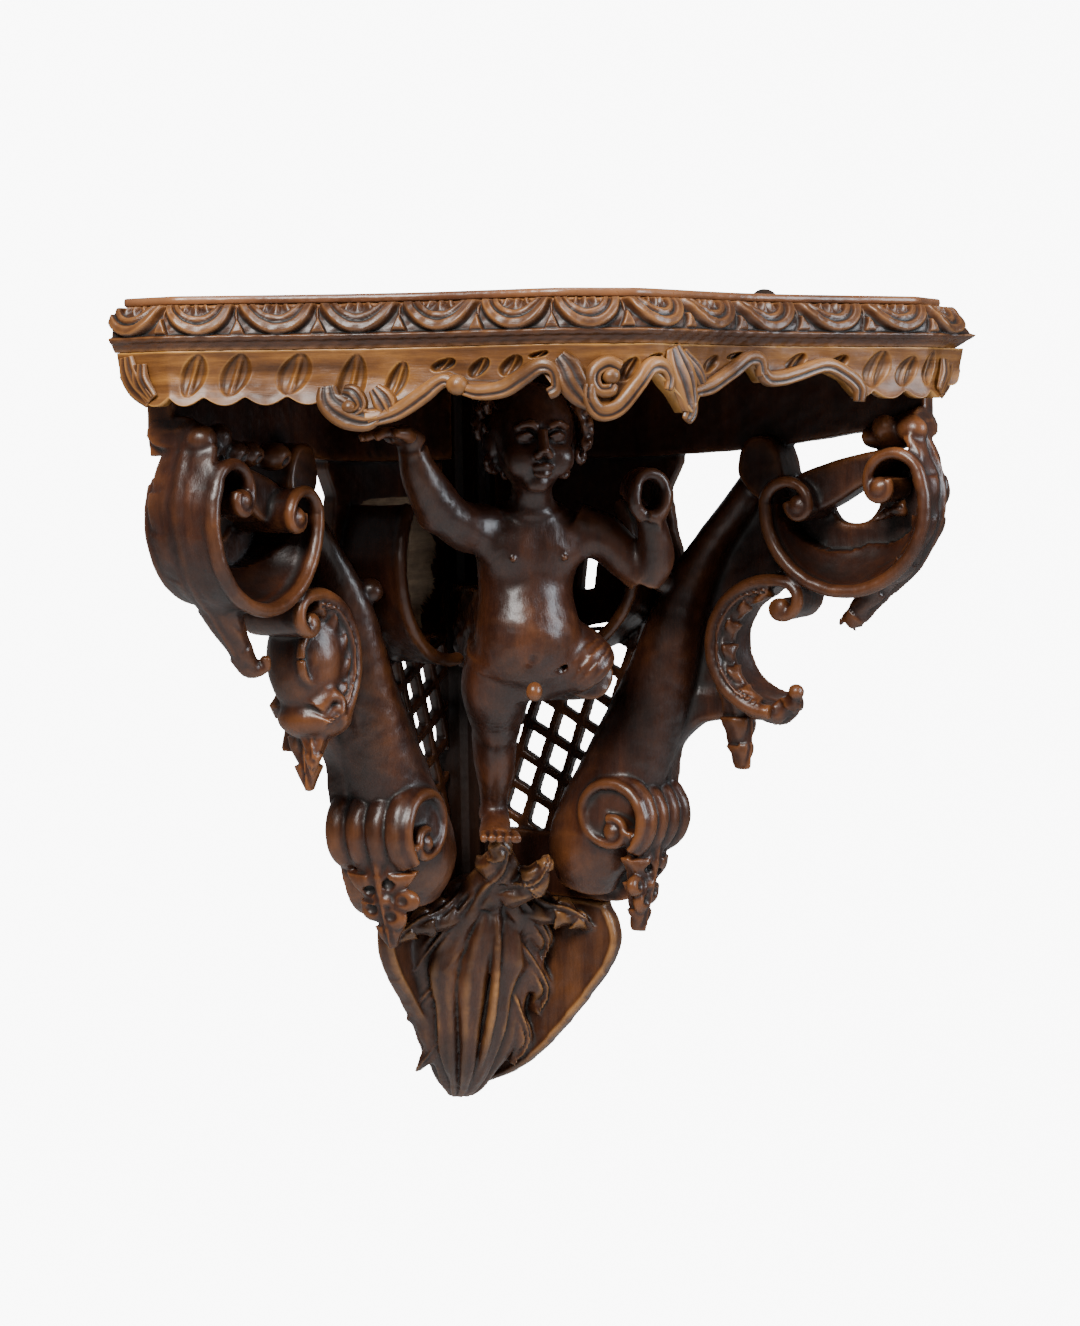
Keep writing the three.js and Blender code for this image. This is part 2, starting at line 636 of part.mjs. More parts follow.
function smallCurls(spot) {
  const curls = [{ u: 166, v: -316 }, { u: 208, v: -206 }];
  return curls.map((place) => eyeButton(spot, place, RELIEF * 0.8, EYE_RADIUS + 2));
}

function plateRecess() {
  const half = PLATE_WIDTH / 2 + GAP;
  const foot = -PLATE_TAIL - GAP;
  const outline = [[PLATE_U - half, 1], [PLATE_U + half, 1], [PLATE_U + half, foot], [PLATE_U - half, foot]];
  return slab(outline, -1, PLATE_THICK + GAP);
}

// One wing in its own frame. tip is where the big leaf ends: whole on the left, broken on the right.
// curl is where the leaf at the foot of the middle scroll ends.
function wing({ reach, tip, curl, plated }) {
  const spot = spotOn(reach);
  const bridge = drawn(spot, [
    [312, -146], [322, -124], [384, -108], [388, -121], [366, -136], [336, -152],
  ], RAIL_THICK - 6, RELIEF - 16);
  const whole = join([
    wallRail(spot), ...stem(spot), lattice(spot), ...backing(spot),
    ...scrollSolids(spot, upperScroll, { dish: 34, taper: 8 }),
    ...scrollSolids(spot, middleScroll, { dish: 3, taper: 0 }),
    ...scrollSolids(spot, lowerScroll, { dish: 4, taper: 0, front: RELIEF + 4 }),
    ...scrollSolids(spot, innerScroll, { dish: 4, taper: 2, back: 6 }),
    upperLeaf(spot, tip), ...middleLeaf(spot, curl), lowerPendant(spot), ...flower(spot), ...lowerReeds(spot),
    ...smallCurls(spot), bridge,
  ]);
  return plated ? whole.subtract(plateRecess()) : whole;
}

// From the wing's frame to the bracket's; hand is 1 for the right wall and -1 for the left. lift
// is how much deeper than drawn the carving stands off the wall.
function onWall(solid, hand, lift = 1) {
  const geometry = toGeometry(solid);
  const position = geometry.attributes.position;
  for (let k = 0; k < position.count; k += 1) {
    const [u, v, w] = [position.getX(k), position.getY(k), position.getZ(k) * lift];
    position.setXYZ(k, (hand * (u - w)) / Math.SQRT2, -(u + w) / Math.SQRT2, v);
  }
  return toSolid(geometry);
}

const postFront = POST_LEG * Math.SQRT2; // the reeded edge of the post, off the room's corner
const POST_REEDS = 3; // on each side of the middle one
const POST_GROOVE = 4;

function cornerPost() {
  const leg = POST_LEG / Math.SQRT2;
  const step = (leg - PANEL_THICK / Math.SQRT2) / POST_REEDS;
  const reeds = [];
  for (let k = -POST_REEDS; k <= POST_REEDS; k += 1) {
    reeds.push([k * step, Math.abs(k) * step - postFront + (k % 2 ? POST_GROOVE : 0)]);
  }
  const cut = CORNER_CUT;
  const outline = [[-cut, -cut], [-leg, -leg], ...reeds, [leg, -leg], [cut, -cut]];
  return slab(outline.reverse(), -WING_FOOT, -BOARD_THICK - GAP);
}

const dropTop = -WING_FOOT - GAP;

// Height on the drop at a share of its length, 0 at the top and 1 at the tip
function downDrop(share) {
  return lerp(dropTop, -TOTAL_HEIGHT, share);
}

// The drop: two smooth cheeks on the walls with an acanthus leaf over the corner between them.
// width is how far a cheek reaches along its wall, the left one less than the right.
function dropCheek(hand, width, lean) {
  const outline = [
    [0.04, 0], [0.84, 0], [0.95, 0.04], [1, 0.16], [0.97, 0.28], [0.86, 0.42], [0.68, 0.61], [0.48, 0.79],
    [0.27, 0.91], [0.04, 0.98],
  ];
  const points = outline.map(([share, down]) => (
    [share * width - Math.sin(Math.PI * down) * lean, downDrop(down)]
  ));
  return onWall(slab(points.reverse(), 0, PANEL_THICK), hand);
}

function dropLeaf() {
  const knot = (x, y, down, wide, deep) => [x, y, downDrop(down), wide, deep];
  const body = limb([
    knot(0, -74, -0.08, 24, 16), knot(0, -76, 0.06, 34, 22), knot(0, -70, 0.26, 42, 24),
    knot(0, -62, 0.49, 36, 22), knot(0, -50, 0.73, 27, 17), knot(-4, -36, 0.89, 16, 11),
    knot(-9, -22, 1, 6, 6),
  ], 7, 6);
  const rib = limb([
    knot(0, -88, -0.12, 7, 6), knot(0, -98, 0.1, 6, 6), knot(0, -92, 0.4, 5, 5), knot(0, -72, 0.7, 4, 5),
    knot(0, -30, 0.97, 4, 4),
  ], 4, 5);
  const sides = [1, -1].flatMap((hand) => [
    limb([
      knot(hand * 18, -86, -0.04, 13, 12), knot(hand * 44, -92, 0.05, 12, 12),
      knot(hand * 74, -96, 0.12, 5, 6),
    ], 5, 3),
    limb([
      knot(hand * 18, -84, 0.24, 12, 9), knot(hand * 42, -80, 0.4, 9, 9), knot(hand * 56, -78, 0.52, 3, 5),
    ], 5, 3),
  ]);
  return [body, rib, ...sides];
}

// The rough leaf that the standing foot rests on
function footLeaf() {
  const sole = -WING_FOOT + FOOT_REST;
  const knot = (x, y, down, wide, deep) => [x, y, sole - down, wide, deep];
  return [
    limb([
      knot(-8, -96, 53, 16, 18), knot(0, -118, 31, 18, 16), knot(2, -128, 16, 14, 10),
      knot(-4, -132, 9, 9, 6),
    ], 6, 4),
    limb([knot(8, -112, 47, 8, 12), knot(26, -128, 39, 14, 10), knot(34, -132, 21, 9, 6)], 5, 3),
  ];
}

function cornerDrop() {
  const cut = CORNER_CUT;
  const core = [[-cut, -cut], [-50, -50], [-30, -74], [0, -80], [30, -74], [50, -50], [cut, -cut]];
  const corner = slab(core.reverse(), downDrop(0.34), dropTop);
  const flat = new THREE.BoxGeometry(10 * cut, 4 * cut, TOTAL_HEIGHT);
  flat.translate(0, cut, -TOTAL_HEIGHT);
  const wallOutline = [[-60, 0], [-60, -2 * TOTAL_HEIGHT], [260, -2 * TOTAL_HEIGHT], [260, 0]];
  const walls = [1, -1].map((hand) => onWall(slab(wallOutline, -60, 0), hand));
  const cheeks = [dropCheek(1, CHEEK_RIGHT, 0), dropCheek(-1, CHEEK_LEFT, CHEEK_LEAN)];
  const whole = join([corner, ...cheeks, ...dropLeaf(), ...footLeaf()]);
  return walls.reduce((left, wall) => left.subtract(wall), whole).subtract(toSolid(flat));
}

// The putto. Its pose is given in shares of its height and reach, from the sole upwards.
function putto() {
  const sole = -WING_FOOT + FOOT_REST;
  const height = -BOARD_THICK - HEAD_ROOM - sole;
  const at = (x, y, z) => [x, -y * FIGURE_REACH, sole + z * height];
  const knot = (x, y, z, rx, ry) => [...at(x, y, z), rx, ry];
  const torso = limb([
    knot(4, 0.8, 0.34, 26, 22), knot(6, 0.83, 0.4, 42, 32), knot(3, 0.86, 0.47, 40, 33),
    knot(1, 0.87, 0.55, 36, 29), knot(2, 0.89, 0.63, 40, 28), knot(3, 0.92, 0.69, 43, 26),
    knot(3, 0.94, 0.735, 24, 18), knot(2, 0.97, 0.77, 15, 14), knot(1, 0.99, 0.82, 15, 14),
  ], 8, 8);
  const standingLeg = limb([
    knot(-14, 0.82, 0.42, 26, 25), knot(-16, 0.76, 0.34, 26, 25), knot(-12, 0.68, 0.25, 18, 19),
    knot(-8, 0.62, 0.17, 16, 17), knot(-6, 0.56, 0.09, 11, 12), knot(-6, 0.54, 0.045, 10, 12),
  ], 6, 6);
  const foot = limb([
    knot(-4, 0.48, 0.06, 9, 8), knot(-6, 0.56, 0.035, 11, 8), knot(-12, 0.66, 0.01, 11, 6),
    knot(-15, 0.7, 0.006, 8, 5),
  ], 6, 4, new THREE.Vector3(0, 0, 1));
  const bentThigh = limb([
    knot(22, 0.78, 0.44, 24, 24), knot(38, 0.84, 0.41, 26, 26), knot(50, 0.9, 0.385, 24, 24),
    knot(54, 0.88, 0.365, 15, 16),
  ], 6, 4);
  const bentShin = limb([
    knot(52, 0.88, 0.38, 18, 20), knot(46, 0.7, 0.36, 16, 16), knot(34, 0.5, 0.33, 12, 13),
    knot(26, 0.4, 0.31, 8, 8),
  ], 6, 4, new THREE.Vector3(0, 0, 1));
  const raisedArm = limb([
    knot(-36, 0.92, 0.69, 17, 18), knot(-54, 0.97, 0.7, 17, 17), knot(-72, 1.02, 0.745, 16, 16),
    knot(-88, 1.07, 0.82, 12, 13), knot(-92, 1.09, 0.865, 9, 10),
  ], 6, 6);
  const raisedHand = limb([
    knot(-88, 1.08, 0.875, 9, 9), knot(-100, 1.09, 0.893, 13, 7), knot(-116, 1.1, 0.894, 11, 5),
    knot(-130, 1.1, 0.886, 6, 4),
  ], 6, 4);
  const bentArm = limb([
    knot(40, 0.92, 0.69, 17, 18), knot(58, 0.95, 0.66, 16, 17), knot(76, 0.97, 0.61, 15, 15),
    knot(86, 1.0, 0.58, 14, 14),
  ], 6, 4);
  const foreArm = limb([
    knot(86, 0.98, 0.575, 13, 13), knot(90, 1.02, 0.62, 14, 14), knot(86, 1.06, 0.68, 11, 12),
    knot(80, 1.08, 0.72, 8, 9),
  ], 6, 4);
  const fist = new THREE.TorusGeometry(11, 6, 4, 7);
  fist.scale(0.95, 1.25, 1.5);
  fist.rotateX(Math.PI / 2);
  fist.translate(...at(79, 1.08, 0.757));
  const [hx, hy, hz] = at(0, 1, 0.885);
  const head = [
    ball(hx, hy, hz + 6, HEAD_RADIUS * 0.98, HEAD_RADIUS * 1.1, HEAD_RADIUS, 8, 5),
    ball(hx - 1, hy - 6, hz - 13, HEAD_RADIUS * 0.84, HEAD_RADIUS * 0.84, HEAD_RADIUS * 0.9, 7, 4),
    ball(hx - 1, hy - 31, hz - 8, 4, 6, 6, 4, 3),
  ];
  return join([torso, standingLeg, foot, bentThigh, bentShin, raisedArm, raisedHand, bentArm, foreArm,
    toSolid(fist), ...head, ...curls(hx, hy, hz), ...backBlock()]);
}

// Locks of hair round the sides and back of the head
function curls(hx, hy, hz) {
  const locks = [];
  const rows = [[0.2, 14], [-0.35, 12]];
  rows.forEach(([height, size], row) => {
    for (let k = 0; k < 4; k += 1) {
      const turn = radians(-20 + 73 * k - row * 10);
      const spread = HEAD_RADIUS * (row ? 0.84 : 0.98);
      const x = hx + Math.cos(turn) * spread;
      const y = hy + 6 + Math.sin(turn) * spread;
      locks.push(ball(x, y, hz + height * HEAD_RADIUS, size, size, size * 0.9, 4, 3));
    }
  });
  return locks;
}

// The rough block that backs the figure and holds it to the post
function backBlock() {
  const deep = FIGURE_REACH * 0.8 - postFront - GAP;
  const geometry = new THREE.BoxGeometry(BLOCK_WIDTH, deep, BLOCK_HEIGHT);
  geometry.translate(2, -postFront - GAP - deep / 2, -BOARD_THICK - HEAD_ROOM - BLOCK_DROP);
  return [toSolid(geometry)];
}

function hangingPlate() {
  const half = PLATE_WIDTH / 2;
  const shape = new THREE.Shape();
  shape.moveTo(PLATE_U - half, -PLATE_TAIL);
  shape.lineTo(PLATE_U + half, -PLATE_TAIL);
  shape.lineTo(PLATE_U + half, PLATE_RISE - half);
  shape.absarc(PLATE_U, PLATE_RISE - half, half, 0, Math.PI);
  const options = { depth: PLATE_THICK, bevelEnabled: false, curveSegments: 7 };
  return onWall(toSolid(new THREE.ExtrudeGeometry(shape, options)), 1);
}

const rightWing = wing({
  reach: shelfEnd - WING_SETBACK, tip: { u: 360, v: -237, w: 28 }, curl: 322, plated: true,
});
const leftWing = wing({
  reach: shelfEnd - LEFT_WING_SETBACK, tip: { u: 341, v: -256, w: 38 }, curl: 304, plated: false,
});

const bracket = new THREE.Group();
bracket.add(
  node("shelf_board", shelfBoard(), WALNUT),
  node("shelf_moulding", shelfMoulding(), WALNUT),
  node("apron", apron(), WORN_WALNUT),
  node("wing_right", onWall(rightWing, 1), WALNUT),
  node("wing_left", onWall(leftWing, -1, LEFT_RELIEF / RELIEF), WALNUT),
  node("corner_post", cornerPost(), DARK_WALNUT),
  node("putto", putto(), WALNUT),
  node("corner_drop", cornerDrop(), WALNUT),
  node("hanging_plate", hangingPlate(), IRON),
);
bracket.position.set(0, CORNER_CUT, MOUNT_DROP);

export default bracket;
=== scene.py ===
import math

import bpy
import numpy as np
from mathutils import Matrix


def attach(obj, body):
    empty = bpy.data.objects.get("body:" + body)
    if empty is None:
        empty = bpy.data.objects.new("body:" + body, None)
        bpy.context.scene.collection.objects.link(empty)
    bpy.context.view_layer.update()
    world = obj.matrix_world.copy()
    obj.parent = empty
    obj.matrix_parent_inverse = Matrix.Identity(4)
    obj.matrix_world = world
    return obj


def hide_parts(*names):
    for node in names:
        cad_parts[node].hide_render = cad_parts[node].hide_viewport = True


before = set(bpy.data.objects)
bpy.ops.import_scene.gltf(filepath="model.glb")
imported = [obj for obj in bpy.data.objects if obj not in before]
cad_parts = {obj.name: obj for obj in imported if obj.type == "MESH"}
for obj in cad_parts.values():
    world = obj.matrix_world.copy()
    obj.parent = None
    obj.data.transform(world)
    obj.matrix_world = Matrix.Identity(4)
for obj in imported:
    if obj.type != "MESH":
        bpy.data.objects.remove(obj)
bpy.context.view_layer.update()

import openvdb
from mathutils import Matrix, Vector

# Carved walnut corner bracket. Shapes are worked out in millimetres in the drawing's frame, whose
# room corner is the line x = 0, y = 0 and whose shelf top is z = 0; placed() brings them to metres
# in the frame of the solids. The sizes repeat those of the solids.

CORNER_CUT = 10
MOUNT_DROP = 60
TOTAL_HEIGHT = 632
SHELF_HALF_SPAN = 306
GAP = 0.3
WALL_CLEAR = 3
LIP_THICK = 6
LIP_SETBACK = 20
MOULDING_FOOT = 36
STRIP_DEPTH = 26
BOARD_THICK = 24
LUNETTE_JOINT = 13
LUNETTE_PITCH_RIGHT = 55.5
LUNETTE_PITCH_LEFT = 52
APRON_SETBACK = 8
APRON_THICK = 12
APRON_FOOT = 72
APRON_END = 34
SCALLOP_PITCH = 27
SCALLOP_RISE = 6
END_FLARE = 10
END_FLARE_LENGTH = 24
SHELF_END = SHELF_HALF_SPAN * math.sqrt(2) + WALL_CLEAR
RIGHT_REACH = SHELF_END - 8
LEFT_REACH = SHELF_END - 26
SHEET_REACH = 428  # reach for which the wings' outlines are written
LEFT_RELIEF = 66
WING_FOOT = 462
POST_LEG = 40
PANEL_THICK = 14
RELIEF = 56
BAND = 8
CHEEK_RIGHT = 148
CHEEK_LEFT = 138
CHEEK_LEAN = 12
RAIL_THICK = 18
FOOT_REST = 63
HEAD_ROOM = 30
FIGURE_REACH = 240
HEAD_RADIUS = 31
PLATE_U = 275
PLATE_WIDTH = 24
PLATE_THICK = 2.4
PLATE_TAIL = 52
WING_TIP = 478  # lowest carving of a wing
SHEET_START = POST_LEG + GAP  # where a wing begins, beside the post
MOULDING_UNDERSIDE = -MOULDING_FOOT - GAP
SOLE = -WING_FOOT + FOOT_REST  # height of the figure's sole
FIGURE_TOP = -BOARD_THICK - HEAD_ROOM
DROP_LEDGE = 84  # beyond this from the corner, the drop's leaves pass in front of the wings' foot
TRIANGLE_LIMIT = 170000  # for each piece
FAR = 12.0  # distance stored where a volume is empty
MARGIN = 8  # room round a form within its volume

SEED = 7
rng = np.random.default_rng(SEED)
FINE = 1.5  # cell of the carved volumes, in millimetres


# Small tools

def lerp(a, b, t):
    return a + (b - a) * t


def smooth(a, b, x):
    t = np.clip((x - a) / (b - a), 0, 1)
    return t * t * (3 - 2 * t)


def bump(x, middle, half):
    """A smooth hump that is 1 at the middle and 0 beyond half on both sides."""
    t = np.clip(np.abs(x - middle) / half, 0, 1)
    return (1 - t * t) ** 2


def spline(knots, count):
    """Catmull-Rom curve through the knots, evenly spread over them."""
    k = np.asarray(knots, float)
    k = np.vstack([2 * k[0] - k[1], k, 2 * k[-1] - k[-2]])
    t = np.linspace(0, len(k) - 3, count)
    i = np.minimum(t.astype(int), len(k) - 4)
    f = (t - i)[:, None]
    p0, p1, p2, p3 = k[i], k[i + 1], k[i + 2], k[i + 3]
    return 0.5 * (2 * p1 + (p2 - p0) * f + (2 * p0 - 5 * p1 + 4 * p2 - p3) * f ** 2
        + (3 * p1 - p0 - 3 * p2 + p3) * f ** 3)


def unit(v):
    return v / np.maximum(np.linalg.norm(v, axis=-1, keepdims=True), 1e-9)


def placed(points):
    return (np.asarray(points, float) + [0, CORNER_CUT, MOUNT_DROP]) / 1000


def rings_to_shell(rings):
    """Closed tube from rings (steps, sides, 3), as points and faces with flat caps."""
    steps, sides, _ = rings.shape
    index = np.arange(steps * sides).reshape(steps, sides)
    a, b = index[:-1], index[1:]
    quads = np.stack([a, np.roll(a, -1, 1), np.roll(b, -1, 1), b], -1).reshape(-1, 4)
    faces = [list(q) for q in quads.tolist()]
    faces.append(index[0][::-1].tolist())
    faces.append(index[-1].tolist())
    return rings.reshape(-1, 3), faces


def merged(shells):
    points, faces, start = [], [], 0
    for p, f in shells:
        points.append(p)
        faces += [[i + start for i in face] for face in f]
        start += len(p)
    return np.vstack(points), faces


def outward(points, faces):
    """Turn the faces round where the shell's volume comes out negative."""
    volume = 0.0
    for face in faces:
        a = points[face[0]]
        for i in range(1, len(face) - 1):
            volume += np.dot(a, np.cross(points[face[i]], points[face[i + 1]]))
    return faces if volume > 0 else [face[::-1] for face in faces]


def linked(name, data):
    """A new object in the scene."""
    thing = bpy.data.objects.new(name, data)
    bpy.context.scene.collection.objects.link(thing)
    return thing


def finished(piece, material, nodes):
    """Smooth shading, material and relief values (for the painted shade and painted highlight) of a
    piece, and its place in the frame.
    """
    mesh = piece.data
    for polygon in mesh.polygons:
        polygon.use_smooth = True
    mesh.materials.append(material)
    mark_relief(mesh)
    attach(piece, "root")
    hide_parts(*nodes)
    return piece


def make(name, points, faces, material, nodes):
    mesh = bpy.data.meshes.new(name)
    mesh.from_pydata(placed(points).tolist(), [], faces)
    mesh.validate()
    mesh.update()
    return finished(linked(name, mesh), material, nodes)


def mark_relief(mesh):
    """Store how hollow or raised each point is, at a fine and a broad scale, for the painted shade
    in the hollows and the wear and painted highlight on raised points.
    """
    count = len(mesh.vertices)
    co = np.empty(count * 3)
    mesh.vertices.foreach_get("co", co)
    co = co.reshape(-1, 3)
    normal = np.empty(count * 3)
    mesh.vertex_normals.foreach_get("vector", normal)
    normal = normal.reshape(-1, 3)
    ends = np.empty(len(mesh.edges) * 2, np.int64)
    mesh.edges.foreach_get("vertices", ends)
    a, b = ends[::2], ends[1::2]
    degree = np.maximum(np.bincount(a, minlength=count) + np.bincount(b, minlength=count), 1)

    def averaged(values):
        out = np.empty_like(values)
        for axis in range(values.shape[1]):
            v = values[:, axis]
            out[:, axis] = np.bincount(a, v[b], count) + np.bincount(b, v[a], count)
        return out / degree[:, None]

    soft = co.copy()
    for name, rounds, scale in (("fine", 4, 0.0007), ("broad", 40, 0.004)):
        for _ in range(rounds):
            soft = 0.4 * soft + 0.6 * averaged(soft)
        height = np.sum((co - soft) * normal, axis=1) / scale
        layer = mesh.attributes.new(name, "FLOAT", "POINT")
        layer.data.foreach_set("value", np.clip(height, -1, 1).astype(np.float32))


# Plan of the shelf

PLAN_TURNS = [(0, 0), (20, 2), (52, 34), (112, 34), (140, 26), (190, 16), (240, 11), (288, 13),
    (312, 45), (348, 45), ]


def trace_plan():
    lengths, angles = np.array(PLAN_TURNS, float).T
    s = np.arange(0.5, lengths[-1], 1.0)
    angle = np.radians(np.interp(s, lengths, angles))
    x = np.concatenate([[0], np.cumsum(np.cos(angle))])
    y = np.concatenate([[0], np.cumsum(np.sin(angle))])
    scale = SHELF_HALF_SPAN / x[-1]
    front = SHELF_HALF_SPAN + WALL_CLEAR * math.sqrt(2) + y[-1] * scale
    angle = np.concatenate([[0], angle])
    angle = np.convolve(np.pad(angle, 6, mode="edge"), np.ones(13) / 13, "valid")
    return x * scale, y * scale - front, angle, lengths[-1] * scale


PLAN_X, PLAN_Y, PLAN_ANGLE, HALF_LENGTH = trace_plan()


def edge(length, inset, z):
    length, inset, z = np.broadcast_arrays(np.asarray(length, float), inset, z)
    share = np.abs(length) / HALF_LENGTH * (len(PLAN_X) - 1)
    k = np.arange(len(PLAN_X))
    x, y, angle = [np.interp(share, k, v) for v in (PLAN_X, PLAN_Y, PLAN_ANGLE)]
    side = np.sign(length)
    return np.stack([side * (x - np.sin(angle) * inset), y + np.cos(angle) * inset, z], -1)


def lunette_joints():
    joints = [LUNETTE_JOINT]
    while joints[-1] < HALF_LENGTH:
        joints.append(joints[-1] + LUNETTE_PITCH_RIGHT)
    while joints[0] > -HALF_LENGTH:
        joints.insert(0, joints[0] - LUNETTE_PITCH_LEFT)
    return np.array(joints)


JOINTS = lunette_joints()


def relief_strip(lengths, face, back):
    """Closed strip along the plan. face holds (inset, z) grids by (length, row), back its rows."""
    inset, z = face
    rows = [edge(lengths[:, None], inset, z)]
    for n, height in back:
        rows.append(edge(lengths, n, height)[:, None, :])
    return rings_to_shell(np.concatenate(rows, axis=1))


# Shelf board: a thin lip with a rounded nose over the moulding

def shelf_board(material):
    lengths = np.linspace(-HALF_LENGTH, HALF_LENGTH, 300)
    nose = [(STRIP_DEPTH + GAP, -BOARD_THICK), (STRIP_DEPTH + GAP, -LIP_THICK),
        (LIP_SETBACK + 2, -LIP_THICK), (LIP_SETBACK + 0.4, -LIP_THICK + 1),
        (LIP_SETBACK, -LIP_THICK / 2), (LIP_SETBACK + 0.4, -1.1), (LIP_SETBACK + 1.4, -0.3),
        (LIP_SETBACK + 3, 0), ]
    back = -CORNER_CUT - WALL_CLEAR * math.sqrt(2)
    rings = []
    for inset, z in nose:
        wear = 0.35 * np.sin(lengths / 23) + 0.2 * np.sin(lengths / 7.3 + 1)
        front = edge(lengths, inset + (wear if inset < STRIP_DEPTH else 0), z)
        corner = np.array([[CORNER_CUT, back, z], [-CORNER_CUT, back, z]])
        rings.append(np.vstack([front, corner]))
    points, faces = rings_to_shell(np.array(rings))
    return make("shelf_top", points, outward(points, faces), material, ["shelf_board"])


# Moulding: an ovolo cut with lunettes

def lunette_height(s, down):
    """Height of the carving at a length along the edge and a distance down the face."""
    k = np.clip(np.searchsorted(JOINTS, s, side="right") - 1, 0, len(JOINTS) - 2)
    start, end = JOINTS[k], JOINTS[k + 1]
    half = (end - start) / 2
    x = s - (start + end) / 2
    r = np.hypot(x / (half - 1.5), down / 28.5)
    outer = smooth(0.76, 0.82, r) * (1 - smooth(0.97, 1.02, r))
    inner = smooth(0.55, 0.60, r) * (1 - smooth(0.68, 0.73, r))
    height = 2.6 * outer + 1.8 * inner - 1.6 * (1 - smooth(0.52, 0.58, r))
    pits = bump(np.abs(x), 15, 5.5) * bump(down, 3.5, 5.5) * (1 - smooth(0.5, 0.58, r))
    bud = np.maximum.reduce([bump(x, 0, 3.4) * bump(down, 7, 8.5),
        bump(x + 0.35 * (down - 4), -5.4, 3.2) * bump(down, 6.5, 7.5),
        bump(x - 0.35 * (down - 4), 5.4, 3.2) * bump(down, 6.5, 7.5), ])
    height = height + 3.6 * bud - 3.2 * pits
    corner = half - np.abs(x)
    outside = smooth(1.0, 1.05, r)
    tongue = smooth(0, 1.5, (down - 15) * 0.42 - corner) * (1 - smooth(27, 30, down))
    rib = bump(corner, 0, 1.3)
    height = height - outside * 4.0 + outside * (4.6 * tongue + 2.6 * rib
        * (1 - smooth(10, 18, down)))
    return height


def shelf_moulding(material):
    columns, rows = ((1350, 58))
    lengths = np.linspace(-HALF_LENGTH, HALF_LENGTH, columns)
    profile = spline([(LIP_SETBACK, -LIP_THICK - GAP), (13, -8.2), (7.5, -13), (3.6, -20),
        (2.6, -26.5), (3.4, -29.5), (5.5, -31.2), (6.5, -33), (APRON_SETBACK + 1, -MOULDING_FOOT),
        ], rows)
    slope = np.gradient(profile, axis=0)
    normal = unit(np.stack([slope[:, 1], -slope[:, 0]], -1))
    down = np.concatenate([[0], np.cumsum(np.linalg.norm(np.diff(profile, axis=0), axis=1))])
    uneven = 1.2 * np.sin(lengths / 31) + 0.8 * np.sin(lengths / 12.7)
    height = lunette_height(lengths[:, None] + 0.5 * np.sin(down / 5)[None, :],
        down[None, :] + 0.35 * uneven[:, None])
    height = height * (1 - smooth(28.2, 30, down))[None, :] * smooth(-0.5, 2.5, down)[None, :]
    height = height + 0.22 * np.sin(lengths[:, None] / 1.9 + down[None, :] / 2.3)
    inset = profile[None, :, 0] + normal[None, :, 0] * height
    z = profile[None, :, 1] + normal[None, :, 1] * height
    z = np.minimum(z, -LIP_THICK - GAP)
    flare = np.clip(1 - (HALF_LENGTH - lengths) / END_FLARE_LENGTH, 0, 1) * END_FLARE
    inset = inset - flare[:, None] * np.interp(z, (-36, -27, -12, -6), (0, 1, 0, 0))
    back = [(STRIP_DEPTH, -MOULDING_FOOT), (STRIP_DEPTH, -LIP_THICK - GAP)]
    points, faces = relief_strip(lengths, (inset, z), back)
    return make("carved_moulding", points, outward(points, faces), material, ["shelf_moulding"])


# Apron: a fluted cove with a carved border

BORDER = np.array([(-188, -78), (-166, -80), (-150, -77), (-129, -67), (-113, -56), (-99, -62),
    (-74, -64), (-48, -50), (-37, -62), (-22, -60), (-7, -78), (8, -75), (21, -61), (32, -50),
    (46, -57), (60, -66), (72, -79), (82, -66), (94, -63), (121, -53), (138, -45), (149, -58),
    (177, -54), (201, -49), (218, -56), (231, -70), ], float)
GOUGES = [(-277, 11, 1), (-249, 12, 1), (-211, 13, 1), (-175, 11, 1), (-146, 8, 0.8),
    (-116, 9, 0.6), (-92, 8, 0.7), (-70, 9, 0.75), (-50, 8, 0.6), (16, 9, 0.7), (39, 8, 0.5),
    (100, 9, 0.7), (124, 8, 0.6), (179, 9, 0.8), (214, 9, 0.75), (246, 13, 1), (272, 11, 0.85),
    (297, 12, 1), ]


def apron_foot(s):
    border = np.interp(s, BORDER[:, 0], BORDER[:, 1]) - 3
    scallop = SCALLOP_RISE * (1 - np.abs(np.sin(np.pi * s / SCALLOP_PITCH)))
    end = np.clip((np.abs(s) - HALF_LENGTH + APRON_END) / APRON_END, 0, 1)
    turned = (APRON_FOOT - MOULDING_FOOT) * 0.75 * (1 - np.sqrt(1 - end * end))
    plain = -APRON_FOOT + scallop + turned
    inside = (s > BORDER[0, 0]) & (s < BORDER[-1, 0])
    return np.where(inside, border, plain)


